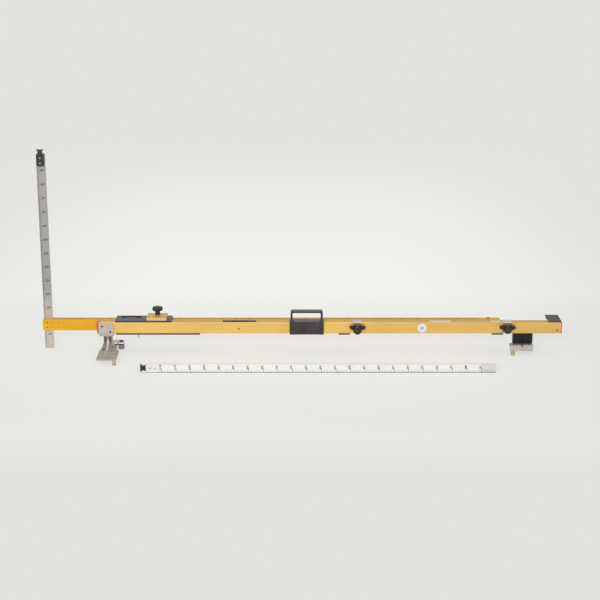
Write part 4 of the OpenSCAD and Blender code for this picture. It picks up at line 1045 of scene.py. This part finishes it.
class GAUGE_OT_stage(bpy.types.Operator):
    """Floor, soft light and the camera"""

    bl_idname = "track_gauge.stage"
    bl_label = "Stage"

    def execute(self, context):
        stage = context.scene.track_gauge.stage
        self.floor(context, stage)
        self.sky(context, stage)
        self.key_light(context, stage)
        self.camera(context, stage)
        context.scene.view_settings.view_transform = "Standard"
        return {"FINISHED"}

    def seen(self, sheet):
        """1 for what the camera sees, directly, mirrored or through glass."""
        wires = [sheet.add("ShaderNodeLightPath", output=name)
                 for name in ("Is Camera Ray", "Is Glossy Ray", "Is Transmission Ray")]
        return wires[0] + wires[1] + wires[2]

    def floor(self, context, stage):
        """One wide sheet, whose tone is mostly its own so that shadows on it stay faint."""
        half = 60
        shape = bmesh.new()
        bmesh.ops.create_grid(shape, x_segments=2, y_segments=2, size=half)
        mesh = bpy.data.meshes.new("floor")
        shape.to_mesh(mesh)
        shape.free()
        floor = bpy.data.objects.new("floor", mesh)
        context.scene.collection.objects.link(floor)
        sheet = Sheet(bpy.data.materials.new("floor"))
        along = sheet.axis("X")
        back = sheet.axis("Y")
        # Painted pool of light: the floor is brighter behind the gauge, fading to the edge tone all
        # round.
        bright = sheet.step(abs(along + 100), 1700, 400) * sheet.step(back, -900, 900)
        bright = bright * sheet.step(back, 4400, 900)
        tone = sheet.between(paint(stage.floor_edge), paint(stage.floor), bright)
        near = sheet.step(abs(along), 1500, 1100) * sheet.step(abs(back), 1000, 600)
        light_share = 0.76
        lift = stage.floor_shadow * (1 - light_share) / (1 - stage.floor_shadow)
        own = sheet.add("ShaderNodeVectorMath", {"operation": "SCALE"},
                        {0: tone, "Scale": near * lift + 1.0})
        matt = sheet.add("ShaderNodeBsdfDiffuse", None, {"Color": tone})
        glow = sheet.add("ShaderNodeEmission", None, {"Color": own, "Strength": 1.0})
        shown = self.seen(sheet) * (1.0 - near * stage.floor_shadow)
        both = sheet.add("ShaderNodeMixShader", None, {0: shown, 1: matt, 2: glow})
        sheet.add("ShaderNodeOutputMaterial", None, {"Surface": both})
        mesh.materials.append(sheet.owner)

    def sky(self, context, stage):
        """Even light from all round, and the background's tone for what the camera sees."""
        world = bpy.data.worlds.new("studio")
        context.scene.world = world
        sheet = Sheet(world)
        light = sheet.add("ShaderNodeBackground", None,
                          {"Color": (1, 1, 1, 1), "Strength": stage.sky_strength})
        tone = sheet.add("ShaderNodeBackground", None,
                         {"Color": paint(stage.floor_edge), "Strength": 1.0})
        both = sheet.add("ShaderNodeMixShader", None, {0: self.seen(sheet), 1: light, 2: tone})
        sheet.add("ShaderNodeOutputWorld", None, {"Surface": both})

    def key_light(self, context, stage):
        """A wide soft lamp in front and a little to the left."""
        lamp = bpy.data.lights.new("key", "AREA")
        lamp.shape = "RECTANGLE"
        lamp.size = 3.0
        lamp.size_y = 1.6
        lamp.energy = stage.key_power
        key = bpy.data.objects.new("key", lamp)
        key.location = (-0.6, -4.7, 2.0)
        key.rotation_euler = (-key.location).to_track_quat("-Z", "Y").to_euler()
        context.scene.collection.objects.link(key)

    def camera(self, context, stage):
        """The photograph's view."""
        lens = bpy.data.cameras.new("camera")
        lens.lens = stage.lens
        lens.sensor_width = 36
        camera = bpy.data.objects.new("camera", lens)
        camera.location = stage.camera_place
        camera.rotation_euler = (math.pi / 2 - stage.camera_pitch, 0, 0)
        context.scene.collection.objects.link(camera)
        context.scene.camera = camera


MAKERS = (GAUGE_OT_beam, GAUGE_OT_labels, GAUGE_OT_guide, GAUGE_OT_clamp, GAUGE_OT_handle,
          GAUGE_OT_level, GAUGE_OT_left_foot, GAUGE_OT_right_foot, GAUGE_OT_lock_screws,
          GAUGE_OT_arm, GAUGE_OT_height_rule, GAUGE_OT_loose_rule, GAUGE_OT_stage)


class GAUGE_PT_panel(bpy.types.Panel):
    """Lists the gauge's pieces and values"""

    bl_idname = "GAUGE_PT_panel"
    bl_label = "Track Gauge"
    bl_space_type = "VIEW_3D"
    bl_region_type = "UI"
    bl_category = "Track Gauge"

    def draw(self, context):
        for maker in MAKERS:
            self.layout.operator(maker.bl_idname)
        settings = context.scene.track_gauge
        for group in (settings.colours, settings.sizes, settings.stage):
            box = self.layout.box()
            for name in group.__annotations__:
                box.prop(group, name)


CLASSES = (GaugeColours, GaugeSizes, StageSettings, TrackGaugeSettings, *MAKERS, GAUGE_PT_panel)


def register():
    for kind in CLASSES:
        bpy.utils.register_class(kind)
    bpy.types.Scene.track_gauge = PointerProperty(type=TrackGaugeSettings)


def unregister():
    del bpy.types.Scene.track_gauge
    for kind in reversed(CLASSES):
        bpy.utils.unregister_class(kind)


def main():
    register()
    for maker in MAKERS:
        group, name = maker.bl_idname.split(".")
        getattr(getattr(bpy.ops, group), name)()


if __name__ == "__main__":
    main()
